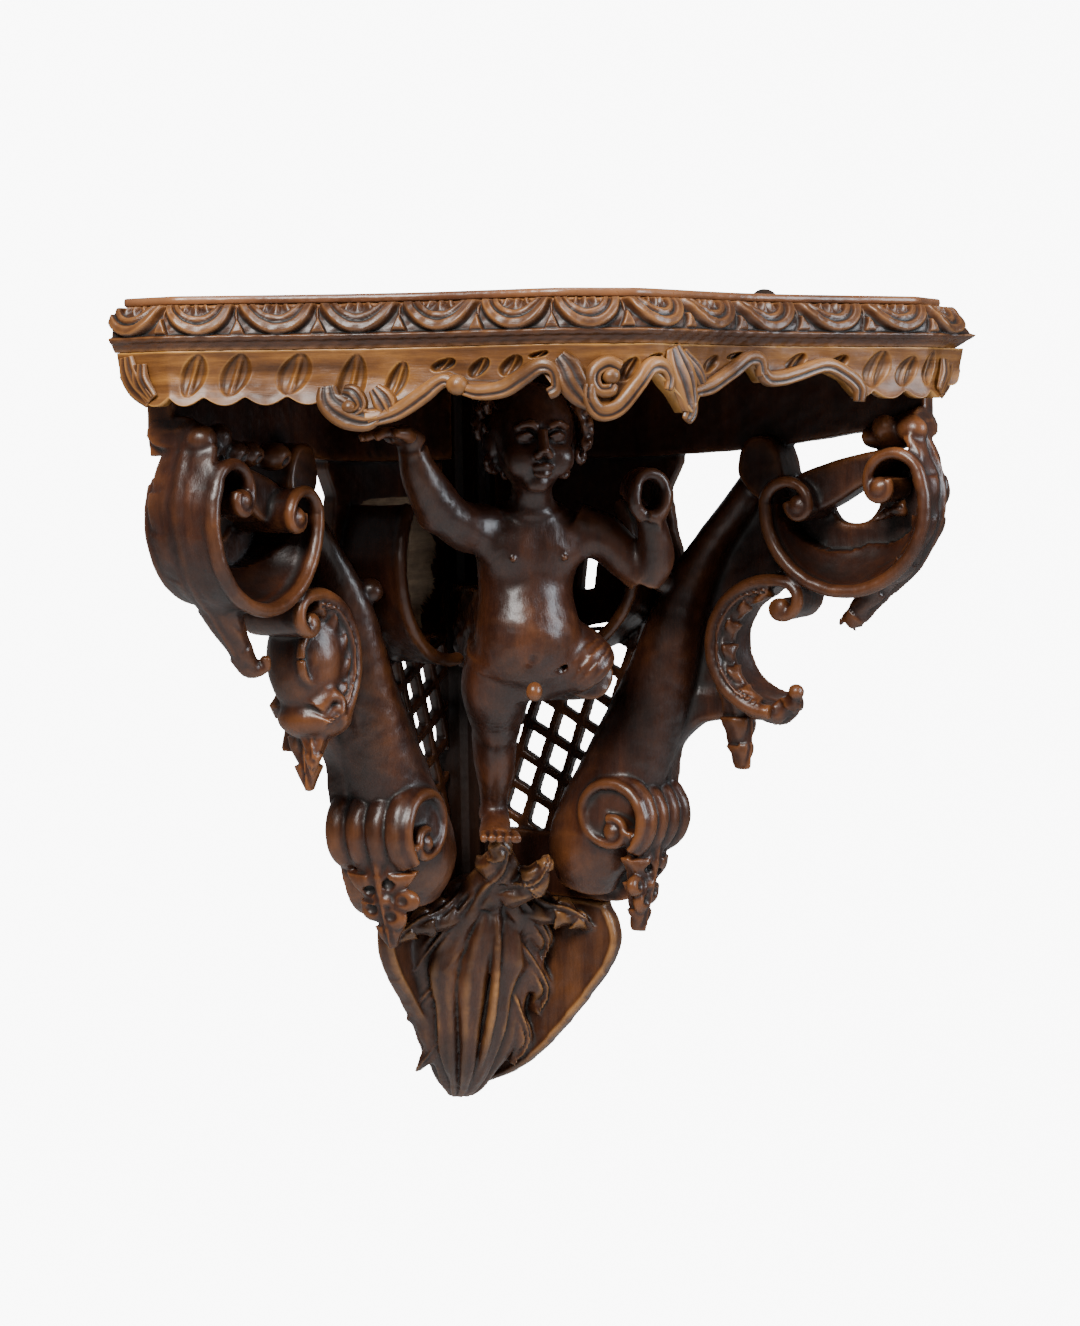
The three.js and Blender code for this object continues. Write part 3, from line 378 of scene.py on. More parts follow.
def apron_board():
    columns, rows = ((1150, 46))
    lengths = np.linspace(-HALF_LENGTH + 1, HALF_LENGTH - 1, columns)
    foot = apron_foot(lengths)
    foot = np.convolve(np.pad(foot, 3, mode="edge"), np.ones(7) / 7, "valid")
    q = np.linspace(0, 1, rows)
    top = MOULDING_UNDERSIDE
    z = top + (foot[:, None] - top) * q[None, :]
    inset = APRON_SETBACK + 1.2 + 3.2 * np.sin(np.pi * np.clip((z - top) / (-APRON_FOOT - top), 0,
        1.1) * 0.9)
    for s, wide, share in GOUGES:
        low = float(np.interp(s, lengths, foot)) + (4 if abs(s) > 160 else 9)
        tall = (top - low) * share * 0.92
        t = np.clip((z - low) / tall, 0, 1)
        lean = s + (t - 0.5) * 9
        x = (lengths[:, None] - lean) / (wide * 0.9)
        body = np.sin(np.pi * t) ** 0.55 * (1 - smooth(0.55, 1.0,
            np.abs(x) / np.maximum(np.sin(np.pi * t) ** 0.5, 0.05)))
        within = (z > low) & (z < low + tall)
        inset = inset + np.where(within, 5.0 * body - 2.2 * body * bump(x, 0.05, 0.28), 0)
    rim = np.clip((z - foot[:, None]) / 7, 0, 1)
    inside = ((lengths > -166) & (lengths < 232))[:, None]
    inset = inset - np.where(inside, 3.5 * np.sqrt(1 - rim * rim), 1.0 * (1 - rim) ** 2)
    inset = inset + 0.25 * np.sin(lengths[:, None] / 9 + z / 3) + 0.15 * np.sin(lengths[:, None]
        / 2.6)
    inset = inset - 7 * smooth(HALF_LENGTH - 30, HALF_LENGTH - 2, lengths)[:,
        None] * (1 - smooth(-62, -76, z))
    back = APRON_SETBACK + APRON_THICK
    rings = np.concatenate([edge(lengths[:, None], inset, z), edge(lengths, back, foot)[:, None, :],
        edge(lengths, back, top)[:, None, :], ], axis=1)
    return rings_to_shell(rings)


def on_apron(path, profile, count):
    """A strip laid on the apron's face: path rows are (length, height, half width, proud)."""
    line = spline(path, count)
    along = unit(np.gradient(line[:, :2], axis=0))
    across = np.stack([-along[:, 1], along[:, 0]], -1)
    rings = []
    for (s, z, half, proud), side in zip(line, across):
        a, h = profile
        rings.append(edge(s + side[0] * a * half * 1.15, APRON_SETBACK + 1.5 - h * proud * 0.8,
            z + side[1] * a * half * 1.15))
    return rings_to_shell(np.array(rings))


def half_round(sides=20, sunk=0.6):
    """A rounded ribbon with a groove along one side."""
    angle = np.linspace(0, 2 * np.pi, sides, endpoint=False)
    a = np.cos(angle)
    top = np.sqrt(np.abs(np.sin(angle))) - 0.42 * bump(a, -0.35, 0.3)
    return a, np.where(np.sin(angle) > 0, top, sunk * np.sin(angle))


def fluted(sides=24, ribs=3):
    angle = np.linspace(0, 2 * np.pi, sides, endpoint=False)
    a = np.cos(angle)
    h = np.where(np.sin(angle) > 0, np.sin(angle) * (0.72 + 0.28 * np.cos(a * np.pi * ribs)),
        0.6 * np.sin(angle))
    return a, h


def apron(material, ribbon_material):
    round_ribbon, leaf = half_round(), fluted()
    shells = [apron_board()]
    for path in ([(-164, -84, 3, 4), (-146, -78, 4.5, 6), (-129, -67, 5, 7), (-116, -58, 4, 6),
            (-108, -60, 3, 5)], [(-101, -64, 3.5, 6), (-90, -66, 4.5, 7), (-74, -64, 5, 7),
            (-61, -57, 5, 7), (-48, -50, 4.5, 7), (-38, -53, 4, 6), (-36, -64, 4, 5),
            (-42, -68, 3.4, 5)], [(4, -62, 3, 6), (1, -66, 4, 8), (-6, -66, 4, 8),
            (-10, -60, 4.5, 8), (-8, -53, 4.5, 8), (0, -49, 4.5, 8), (8, -52, 4.5, 8)],
            [(-12, -62, 4, 8), (-12, -72, 4.5, 8), (-5, -80, 5, 8), (7, -77, 5, 8), (21, -62, 5, 8),
            (32, -51, 5, 7), (44, -51, 4.5, 6), (51, -58, 4, 5), (50, -66, 3.4, 4)],
            [(76, -68, 3, 4), (94, -64, 4.5, 6), (108, -58, 4.5, 7), (121, -52, 4.5, 7),
            (134, -45, 4.5, 7), (144, -46, 4.5, 7), (147, -56, 4, 6)],
            [(146, -52, 4, 6), (152, -58, 4.5, 7), (164, -58, 4.5, 7), (177, -55, 4.5, 7),
            (201, -49, 4.5, 7), (218, -55, 4.5, 6), (229, -64, 4.5, 6), (229, -74, 3.6, 5)], ):
        shells.append(on_apron(path, round_ribbon, 60))
    for path in ([(-34, -44, 5, 5), (-28, -52, 9, 7), (-24, -60, 10, 8), (-18, -68, 8, 7),
            (-10, -76, 4, 5)], [(56, -38, 6, 4), (60, -48, 10, 7), (66, -58, 11, 8),
            (70, -68, 9, 7), (73, -80, 6, 6), (70, -86, 4, 4)],
            [(66, -42, 4, 4), (80, -54, 6, 6), (88, -66, 4, 4)],
            [(-190, -60, 5, 4), (-188, -70, 8, 6), (-178, -78, 9, 7), (-166, -82, 7, 6),
            (-158, -80, 4, 5)], [(-180, -64, 4, 4), (-174, -66, 6, 8), (-170, -73, 5, 8),
            (-176, -78, 4, 6)], [(-160, -62, 4, 5), (-154, -70, 7, 7), (-150, -79, 5, 6)], ):
        shells.append(on_apron(path, leaf, 40))
    for s, z, radius in ((-105, -61, 7.5), (2, -57, 6), (-176, -74, 5)):
        angle = np.linspace(0, np.pi, 12)[:, None]
        turn = np.linspace(0, 2 * np.pi, 20, endpoint=False)[None, :]
        flat = np.sin(np.clip(angle, 0.02, np.pi - 0.02)) * radius
        rings = edge(s + flat * np.cos(turn), APRON_SETBACK - 1 - np.cos(angle) * radius * 0.9 + 0
            * turn, z + flat * np.sin(turn) * 0.9)
        shells.append(rings_to_shell(rings))
    for hand in (-1, 1):
        end = hand * HALF_LENGTH
        for path in ([(end - hand * 9, -39, 5, 3), (end - hand * 11, -49, 7, 4),
                (end - hand * 17, -59, 7, 4), (end - hand * 28, -68, 5, 3)],
                [(end - hand * 20, -44, 5, 3), (end - hand * 21, -55, 6, 5),
                (end - hand * 29, -67, 5, 3)], ):
            shells.append(on_apron(path, leaf, 36))
    oriented = [(p, outward(p, f)) for p, f in shells]
    points, faces = merged(oriented)
    piece = make("carved_apron", points, faces, material, ["apron"])
    piece.data.materials.append(ribbon_material)
    board = len(shells[0][1])
    piece.data.polygons.foreach_set("material_index", np.repeat([0, 1],
        [board, len(faces) - board]).astype(np.int32))
    return piece


# Carved forms as volumes: distances to the surface, negative inside, meshed at the end

class Volume:
    """A block of distances that forms are added to and cut from."""

    def __init__(self, low, high, cell):
        self.low, self.cell = np.array(low, float), cell
        shape = np.ceil((np.array(high) - self.low) / cell).astype(int) + 1
        self.distance = np.full(shape, FAR, np.float32)

    def part(self, low, high):
        start = np.floor((np.array(low) - self.low) / self.cell).astype(int)
        stop = np.ceil((np.array(high) - self.low) / self.cell).astype(int) + 1
        start = np.clip(start, 0, self.distance.shape)
        stop = np.clip(stop, start, self.distance.shape)
        slices = tuple(slice(a, b) for a, b in zip(start, stop))
        axes = [(self.low[k] + self.cell * np.arange(start[k], stop[k])).astype(np.float32)
            for k in range(3)]
        return slices, axes

    def put(self, slices, new, soft=0.0, cut=False):
        old = self.distance[slices]
        if cut:
            old, new = -old, np.asarray(new)
        low = np.minimum(old, new)
        if soft:
            low = low - np.maximum(soft - np.abs(old - new), 0) ** 2 / (4 * soft)
        self.distance[slices] = -low if cut else low

    def swept(self, knots, section, face, reach, soft=3.0, cut=False):
        """Adds a form along a path of (x, y, z, sizes...). section(a, d, t, *sizes) gives the
        distance, with a across the path and d along its face."""
        knots = np.asarray(knots, float)
        length = np.linalg.norm(np.diff(knots[:, :3], axis=0), axis=1).sum()
        count = int(np.clip(length / 2.2, 8, 140))
        line = spline(knots, count)
        place = line[:, :3]
        along = unit(np.gradient(place, axis=0))
        across = unit(np.cross(along, np.asarray(face, float)))
        deep = np.cross(across, along)
        gap = np.linalg.norm(np.diff(place, axis=0), axis=1).mean()
        slices, axes = self.part(place.min(0) - reach, place.max(0) + reach)
        shape = [len(a) for a in axes]
        if 0 in shape:
            return
        best = np.full(shape, 1e9, np.float32)
        nearest = np.zeros(shape, np.int32)
        for k, p in enumerate(place):
            span = []
            for a, c in zip(axes, p):
                span.append(slice(*np.searchsorted(a, (c - reach, c + reach))))
            x, y, z = [a[s] - c for a, s, c in zip(axes, span, p.astype(np.float32))]
            far = x[:, None, None] ** 2 + y[None, :, None] ** 2 + z[None, None, :] ** 2
            span = tuple(span)
            closer = far < best[span]
            best[span] = np.where(closer, far, best[span])
            nearest[span] = np.where(closer, k, nearest[span])
        where = np.nonzero(best < reach * reach)
        k = nearest[where]
        rel = np.stack([axes[n][where[n]] for n in range(3)], -1) - place[k]
        forward = np.sum(rel * along[k], -1)
        t = (k + forward / gap) / (count - 1)
        over = np.maximum(np.maximum(-t, t - 1), 0) * (count - 1) * gap
        t = np.clip(t, 0, 1)
        sizes = [np.interp(t, np.linspace(0, 1, count), line[:, n])
            for n in range(3, line.shape[1])]
        value = section(np.sum(rel * across[k], -1), np.sum(rel * deep[k], -1), t, *sizes)
        value = np.where(over > 0, np.hypot(np.maximum(value, 0), over) + np.minimum(value, 0)
            * 0.2, value)
        new = np.full(shape, FAR, np.float32)
        new[where] = value
        self.put(slices, new, soft, cut)

    def limb(self, knots, face=(0, 1, 0), soft=4.0, cut=False):
        reach = max(max(k[3], k[4]) for k in knots) + MARGIN
        self.swept(knots, ellipse, face, reach, soft=soft, cut=cut)

    def leaf(self, knots, face, lobes=4, ribs=1.0, dish=0.2, serration=0.35, soft=2.0):
        def section(a, d, t, wide, thick):
            return leaf_section(a, d, t, wide, thick, lobes, ribs, dish, serration)
        reach = max(k[3] for k in knots) * 1.1 + max(k[4] for k in knots) + 6
        self.swept(knots, section, face, reach, soft=soft)

    def ball(self, centre, radii, soft=4.0, cut=False):
        centre, radii = np.asarray(centre, float), np.asarray(radii, float)
        slices, axes = self.part(centre - radii - MARGIN, centre + radii + MARGIN)
        grids = np.meshgrid(*axes, indexing="ij")
        scaled = [(g - c) / r for g, c, r in zip(grids, centre, radii)]
        k0 = np.sqrt(sum(s * s for s in scaled)) + 1e-6
        k1 = np.sqrt(sum((s / r) ** 2 for s, r in zip(scaled, radii))) + 1e-6
        self.put(slices, k0 * (k0 - 1) / k1, soft, cut)

    def flat(self, outline, low, high, soft=1.5, cut=False, bevel=1.0):
        """A board drawn on the first two axes, between two depths on the third."""
        outline = np.asarray(outline, float)
        slices, axes = self.part((*(outline.min(0) - MARGIN), low - MARGIN),
            (*(outline.max(0) + MARGIN), high + MARGIN))
        plan = polygon_distance(axes[0][:, None], axes[1][None, :], outline)
        depth = np.abs(axes[2] - (low + high) / 2) - (high - low) / 2
        self.put(slices, rounded_max(plan[:, :, None], depth[None, None, :], bevel), soft, cut)

    def mesh(self):
        grid = openvdb.FloatGrid()
        self.distance[[0, -1]] = FAR
        self.distance[:, [0, -1]] = FAR
        self.distance[:, :, [0, -1]] = FAR
        limit = 3 * self.cell
        grid.copyFromArray(np.clip(self.distance, -limit, limit).astype(np.float32))
        points, quads = grid.convertToQuads(isovalue=0.0)
        return points.astype(float) * self.cell + self.low, quads.astype(int)


def ellipse(a, d, t, ra, rd):
    k0 = np.hypot(a / ra, d / rd) + 1e-6
    k1 = np.hypot(a / ra ** 2, d / rd ** 2) + 1e-6
    return k0 * (k0 - 1) / k1


def rounded_max(a, b, radius):
    return np.minimum(np.maximum(a, b), -radius) + np.hypot(np.maximum(a + radius, 0),
        np.maximum(b + radius, 0))


def leaf_section(a, d, t, wide, thick, lobes, ribs, dish, serration):
    """Acanthus: lobes that step back along both edges, with a vein to each lobe and a midrib."""
    beat = t * lobes % 1.0
    edge_line = wide * (1 - serration * beat ** 1.6) * (0.35 + 0.65
        * np.sqrt(np.clip(1.02 - t, 0, 1)))
    s = np.abs(a) / np.maximum(edge_line, 0.8)
    veins = np.cos(2 * np.pi * (t * lobes - 0.55 * s + 0.05)) * smooth(0.12, 0.4, s)
    middle = dish * wide * s * s - ribs * 0.9 * veins - ribs * 1.3 * bump(s, 0,
        0.16) + ribs * 1.0 * bump(s, 0.24, 0.14)
    body = np.abs(d + middle) - thick * (1 - 0.45 * np.clip(s, 0, 1) ** 2)
    return rounded_max(body, np.abs(a) - edge_line, 1.0)


def polygon_distance(x, y, outline):
    """Distance to a closed outline, negative inside."""
    best = np.full(np.broadcast(x, y).shape, 1e9)
    inside = np.zeros(best.shape, bool)
    for (x0, y0), (x1, y1) in zip(outline, np.roll(outline, -1, 0)):
        ex, ey = x1 - x0, y1 - y0
        share = np.clip(((x - x0) * ex + (y - y0) * ey) / max(ex * ex + ey * ey, 1e-9), 0, 1)
        best = np.minimum(best, (x - x0 - share * ex) ** 2 + (y - y0 - share * ey) ** 2)
        if y0 != y1:
            inside ^= ((y0 > y) != (y1 > y)) & (x < x0 + (y - y0) / (y1 - y0) * ex)
    return np.where(inside, -1, 1) * np.sqrt(best)


def closed_curve(knots, per_side=5):
    k = np.asarray(knots, float)
    count = len(k)
    wide = np.vstack([k[-2:], k, k[:3]])
    line = spline(wide, (len(wide) - 1) * per_side + 1)
    return line[2 * per_side: (2 + count) * per_side]


def shaped(mesh_points, mesh_quads, name, material, nodes, to_local):
    """Makes a piece from a volume's mesh, and thins it where it is over the limit."""
    points = to_local(mesh_points)
    uneven = 0.22 * np.sin(points[:, 0] / 5.3 + 1.7 * np.sin(points[:, 2] / 9.1)) * np.sin(points[:,
        2] / 4.1 + points[:, 1] / 6.3)
    mesh = bpy.data.meshes.new(name)
    mesh.from_pydata(placed(points).tolist(), [], mesh_quads.tolist())
    mesh.update()
    normal = np.empty(len(points) * 3)
    mesh.vertex_normals.foreach_get("vector", normal)
    moved = placed(points) + normal.reshape(-1, 3) * uneven[:, None] / 1000
    mesh.vertices.foreach_set("co", moved.ravel())
    piece = linked(name, mesh)
    triangles = 2 * len(mesh_quads)
    if triangles > TRIANGLE_LIMIT:
        thin = piece.modifiers.new("thin", "DECIMATE")
        thin.ratio = TRIANGLE_LIMIT / triangles
        view = bpy.context.evaluated_depsgraph_get()
        mesh = bpy.data.meshes.new_from_object(piece.evaluated_get(view))
        piece.modifiers.clear()
        piece.data = mesh
    return finished(piece, material, nodes)


# Wings: u along the wall from the corner, v the height, w off the wall

def half_turns(u, v, radius, angle, hand, radii, step=4):
    points = []
    for k, following in enumerate(radii):
        u += (radius - following) * math.cos(math.radians(angle))
        v += (radius - following) * math.sin(math.radians(angle))
        radius = following
        for done in range(step, 181, step):
            here = math.radians(angle + hand * done)
            roll = min(1.0, (k + done / 180) / len(radii) + 0.25)
            points.append((u + radius * math.cos(here), v + radius * math.sin(here), math.cos(here),
                math.sin(here), roll))
        angle += hand * 180
    return points, (u, v)


def scroll(u, v, radius, start, end, head=(), tail=()):
    """Path of (u, v, normal u, normal v, roll) with volutes at its ends, and their eyes."""
    arc = []
    for here in np.radians(np.arange(start, end + 0.1, 2.0)):
        arc.append((u + radius * math.cos(here), v + radius * math.sin(here), math.cos(here),
            math.sin(here), 0.0))
    before, first_eye = half_turns(u, v, radius, start, -1, head)
    after, last_eye = half_turns(u, v, radius, end, 1, tail)
    eyes = ([first_eye] if head else []) + ([last_eye] if tail else [])
    return np.array(before[::-1] + arc + after), eyes


def band(volume, path, front=RELIEF, back=4, dish=6, taper=6, thick=BAND, soft=2.0):
    """A scroll's rim on edge, dished towards the wall behind it."""
    reach = thick + dish + taper + 12
    low, high = path[:, :2].min(0) - reach, path[:, :2].max(0) + reach
    slices, (us, vs, ws) = volume.part((*low, -10), (*high, front + 12))
    best = np.full((len(us), len(vs)), 1e9)
    nearest = np.zeros(best.shape, int)
    for k, (pu, pv) in enumerate(path[:, :2]):
        i = slice(*np.searchsorted(us, (pu - reach, pu + reach)))
        j = slice(*np.searchsorted(vs, (pv - reach, pv + reach)))
        far = (us[i, None] - pu) ** 2 + (vs[None, j] - pv) ** 2
        closer = far < best[i, j]
        best[i, j] = np.where(closer, far, best[i, j])
        nearest[i, j] = np.where(closer, k, nearest[i, j])
    p = path[nearest]
    du, dv = us[:, None] - p[..., 0], vs[None, :] - p[..., 1]
    inward = -(du * p[..., 2] + dv * p[..., 3])
    sideways = np.abs(du * p[..., 3] - dv * p[..., 2])
    roll = p[..., 4]
    heel = lerp(back, front * 0.3, roll)[..., None]
    hollow = lerp(dish, 0, np.minimum(1, roll * 2))[..., None]
    lean = lerp(taper, 0, roll)[..., None]
    rim = lerp(thick, thick * 0.7, roll)[..., None]
    w = ws[None, None, :]
    deep = np.clip((front - w) / (front - heel), 0, 1)
    outer = lean * deep
    inner = rim + (hollow + lean) * deep ** 2.2
    inward = inward[..., None]
    groove = 1.1 * bump(deep, 0.17, 0.07) * (1 - roll[..., None])
    wall = np.maximum(outer - inward, inward - inner + groove)
    value = rounded_max(wall, np.maximum(w - front, heel - w), 2.2)
    bead = np.hypot(inward - rim / 2, w - front + rim * 0.35) - rim * 0.62
    value = np.maximum(np.minimum(value, bead), (sideways - 3.0)[..., None])
    volume.put(slices, value, soft)


def button(volume, eye, front=RELIEF, radius=8.0):
    u, v = eye
    volume.ball((u, v, front - 4), (radius, radius, radius * 0.9), soft=1.5)
    volume.limb([(u, v, front * 0.3, radius, radius), (u, v, front - 6, radius * 0.9,
        radius * 0.9)], face=(1, 0, 0), soft=1.5)


UPPER, MIDDLE, LOWER, INNER = (361, -148), (303, -252), (169, -388), (116, -190)
UPPER_SCROLL = scroll(*UPPER, 66, 180, 385, head=(21, 11), tail=(23, 11))
MIDDLE_SCROLL = scroll(*MIDDLE, 53, 75, 265, head=(16, 8))
SHORT_MIDDLE_SCROLL = scroll(*MIDDLE, 53, 75, 235, head=(16, 8))
LOWER_SCROLL = scroll(*LOWER, 31, -50, 100, tail=(27, 13))
INNER_SCROLL = scroll(*INNER, 78, -95, 35)
STEM = [(296, -100), (271, -104), (272, -134), (247, -160), (214, -192), (204, -214), (183, -288),
    (128, -372), (104, -420), (112, -452), (150, -462), (178, -440), (198, -372), (205, -334),
    (224, -313), (250, -305), (256, -258), (280, -214), (304, -186), (300, -150), ]
SWELL = [(284, -112, 12, 11, 10), (268, -140, 16, 12, 15), (238, -180, 18, 14, 19),
    (216, -222, 21, 20, 24), (194, -288, 24, 28, 26), (163, -360, 28, 35, 28),
    (138, -412, 30, 36, 30), (128, -446, 24, 24, 20), ]
LATTICE = [(36, -250), (150, -244), (204, -214), (190, -288), (134, -372), (112, -430), (36, -430)]
LATTICE_FIRST = (112, -303)
LATTICE_DOWN = (-0.34, -0.94, 25.5)
LATTICE_ACROSS = (-0.885, 0.465, 22.6)
LATTICE_BAR = 7


def lattice(volume):
    volume.flat(LATTICE, 3, 11, soft=0)
    slices, (us, vs, ws) = volume.part((36, -440, -2), (210, -205, 16))
    matrix = np.array([[LATTICE_DOWN[0], LATTICE_ACROSS[0]], [LATTICE_DOWN[1], LATTICE_ACROSS[1]]])
    turn = np.linalg.inv(matrix)
    du, dv = us[:, None] - LATTICE_FIRST[0], vs[None, :] - LATTICE_FIRST[1]
    i = (turn[0, 0] * du + turn[0, 1] * dv) / LATTICE_DOWN[2]
    j = (turn[1, 0] * du + turn[1, 1] * dv) / LATTICE_ACROSS[2]
    hole = np.maximum(np.abs(i - np.round(i)) * LATTICE_DOWN[2] - (LATTICE_DOWN[2] - LATTICE_BAR)
        / 2, np.abs(j - np.round(j)) * LATTICE_ACROSS[2] - (LATTICE_ACROSS[2] - LATTICE_BAR) / 2)
    edge_line = polygon_distance(us[:, None], vs[None, :], np.array(LATTICE, float)) + 3
    hole = np.maximum(hole, edge_line)[..., None] + 0 * ws
    volume.put(slices, hole, 0.0, cut=True)


FOOT_LEAF_END = 322  # where the leaf under the right wing's middle scroll ends


def wing(name, node_name, reach, tip, material, rough_material=None):
    """One wing. tip is where the big leaf ends. The right wing, which has no raw wood, is the one
    with the broken tip, the veined leaves and the leaf under the middle scroll."""
    broken = rough_material is None
    cell = FINE * 1.12
    volume = Volume((34, -482, -3), (444, -18, 72), cell)
    top = MOULDING_UNDERSIDE
    scale = (reach - POST_LEG - GAP) / (SHEET_REACH - POST_LEG - GAP)

    def on_sheet(u):
        return SHEET_START + (u - POST_LEG - GAP) / scale

    ball, flat, leaf, limb = volume.ball, volume.flat, volume.leaf, volume.limb
    lattice(volume)
    flat([(SHEET_START, -100), (208, -100), (208, -116), (197, -137), (202, -169), (208, -190),
        (204, -232), (SHEET_START, -256)], 0, PANEL_THICK - 4)
    flat([(122, -188), (134, -190), (130, -214), (118, -216)], -4, PANEL_THICK + 2, cut=True)
    flat([(SHEET_START, -410), (122, -410), (140, -WING_FOOT), (SHEET_START, -WING_FOOT)], 0,
        PANEL_THICK)
    flat(closed_curve(STEM), 0, PANEL_THICK, soft=3)
    limb(SWELL, face=(0, 0, 1), soft=6)
    flat(closed_curve([(276, -100), (296, -100), (306, -126), (292, -146), (270, -126)]), 0,
        RELIEF * 0.7, soft=5, bevel=4)
    limb([(412, -88, 20, 12, 19), (390, -96, 19, 12, 19), (368, -99, 18, 8, 17)], face=(0, 0, 1),
        soft=5)
    ball((408, -94, 38), (11, 10, 9), soft=4)
    ball((386, -92, 36), (9, 9, 8), soft=4)
    band(volume, UPPER_SCROLL[0], dish=34, taper=8)
    floor = [(UPPER[0] + 58 * math.cos(a), UPPER[1] + 58 * math.sin(a))
        for a in np.radians(np.arange(160, 391, 10))]
    flat(floor, 2, 12, soft=8, bevel=3)
    flat(closed_curve([(332, -140), (344, -133), (366, -133), (372, -146), (362, -160),
        (342, -160)]), -4, 20, soft=3, cut=True)
    middle_path = (MIDDLE_SCROLL if broken else SHORT_MIDDLE_SCROLL)[0]
    band(volume, middle_path, dish=5, taper=1, thick=9)
    band(volume, LOWER_SCROLL[0], dish=4, taper=0, front=RELIEF + 4)
    band(volume, INNER_SCROLL[0], dish=4, taper=2, back=6)
    for eye in UPPER_SCROLL[1] + MIDDLE_SCROLL[1]:
        button(volume, eye)
    for eye in LOWER_SCROLL[1]:
        button(volume, eye, RELIEF + 4)
    for eye in ((166, -316), (208, -206)):
        button(volume, eye, RELIEF * 0.8, 9)
    flat(closed_curve([(312, -146), (322, -124), (384, -108), (388, -121), (366, -136),
        (336, -152)]), 12, 40, soft=3, bevel=4)

    # leaf round the outer arm of the upper scroll
    tu, tv, tw = tip
    veins, notch = (1.3, 0.3) if broken else (0.5, 0.12)
    leaf([(410, -98, 30, 18, 5), (422, -128, 31, 25, 6), (421, -156, 31, 26, 7),
        (406, -187, 30, 24, 7), (380, -208, 28, 19, 9), (lerp(380, tu, 0.6), lerp(-213, tv, 0.6),
        30, 12, 8), (tu, tv, tw, 7, 5)], (1, 0, 0), lobes=6, ribs=veins, dish=0.1, serration=notch,
        soft=3)
    if broken:
        leaf([(400, -150, 30, 6, 4), (388, -153, 32, 6, 3.5), (377, -160, 36, 3, 3)], (0, 0, 1),
            lobes=2, ribs=0.8, soft=2)
    else:
        limb([(424, -110, 44, 1.3, 2), (430, -150, 42, 1.3, 3), (408, -196, 40, 1.3, 3),
            (368, -226, 40, 1.3, 2)], face=(0, 0, 1), soft=1, cut=True)
        limb([(tu + 12, tv + 12, tw - 6, 6, 7), (tu + 4, tv + 1, tw - 2, 4.5, 6),
            (tu - 3, tv + 3, tw + 4, 3.5, 4), (tu - 1, tv + 10, tw + 6, 3, 3)], soft=2)

    # middle scroll: a veined leaf along its face, and the leaves or shell at its foot
    widths = zip(np.radians((92, 125, 160, 195, 228, 256)), (6, 12, 15, 16, 14, 8))
    arc = [(MIDDLE[0] + 43 * math.cos(a), MIDDLE[1] + 43 * math.sin(a), 50, wide, 6) for a,
        wide in widths]
    leaf(arc, (0, 0, 1), lobes=6, ribs=1.8, dish=0.16, serration=0.3, soft=2)
    if broken:
        curl = FOOT_LEAF_END
        leaf([(282, -300, 30, 21, 7), (lerp(282, curl, 0.45), -303, 34, 18, 8),
            (lerp(282, curl, 0.82), -295, 41, 12, 8), (curl, -284, 47, 7, 6)], (0.3, -1, 0),
            lobes=3, ribs=1.2, dish=0.15, serration=0.35, soft=3)
        ball((curl - 1, -285, 48), (6, 6, 6), soft=2)
    flat([(205, -292), (250, -292), (266, -322), (246, -311), (224, -316), (205, -330)], 0, 15,
        soft=9, bevel=4)
    leaf([(262, -284, 22, 16, 13), (263, -320, 22, 14, 11), (266, -348, 24, 9, 7)], (1, 0, 0.3),
        lobes=3, ribs=1.2, dish=0.1, serration=0.4, soft=3)
    if not broken:
        ball((274, -293, 34), (27, 17, 23), soft=6)
        limb([(292, -284, 46, 7, 7), (286, -276, 52, 5, 5), (278, -280, 55, 4, 4),
            (280, -288, 56, 3.5, 3.5)], soft=2)
        for place, size in (((392, -104, 30), 10), ((368, -103, 34), 9), ((344, -104, 30), 9),
                ((318, -106, 33), 10)):
            ball(place, (size * 1.3, size, size * 1.2), soft=5)
            ball((place[0] - 2, place[1] - 4, place[2] + size), (size * 0.45, size * 0.4, 4),
                soft=2, cut=True)
        ball((280, -250, 32), (30, 42, 24), soft=6)
        limb([(296 + 13 * math.cos(a), -248 + 18 * math.sin(a), 45, 2.6, 3)
            for a in np.radians(np.arange(0, 361, 30))], face=(0, 0, 1), soft=2.5)
        ball((296, -248, 45), (7, 11, 6), soft=2)
        leaf([(284, -300, 38, 9, 6), (288, -318, 40, 8, 5), (286, -334, 38, 4, 3)], (1, 0, 0.4),
            lobes=2, ribs=1.0, serration=0.3, soft=2)

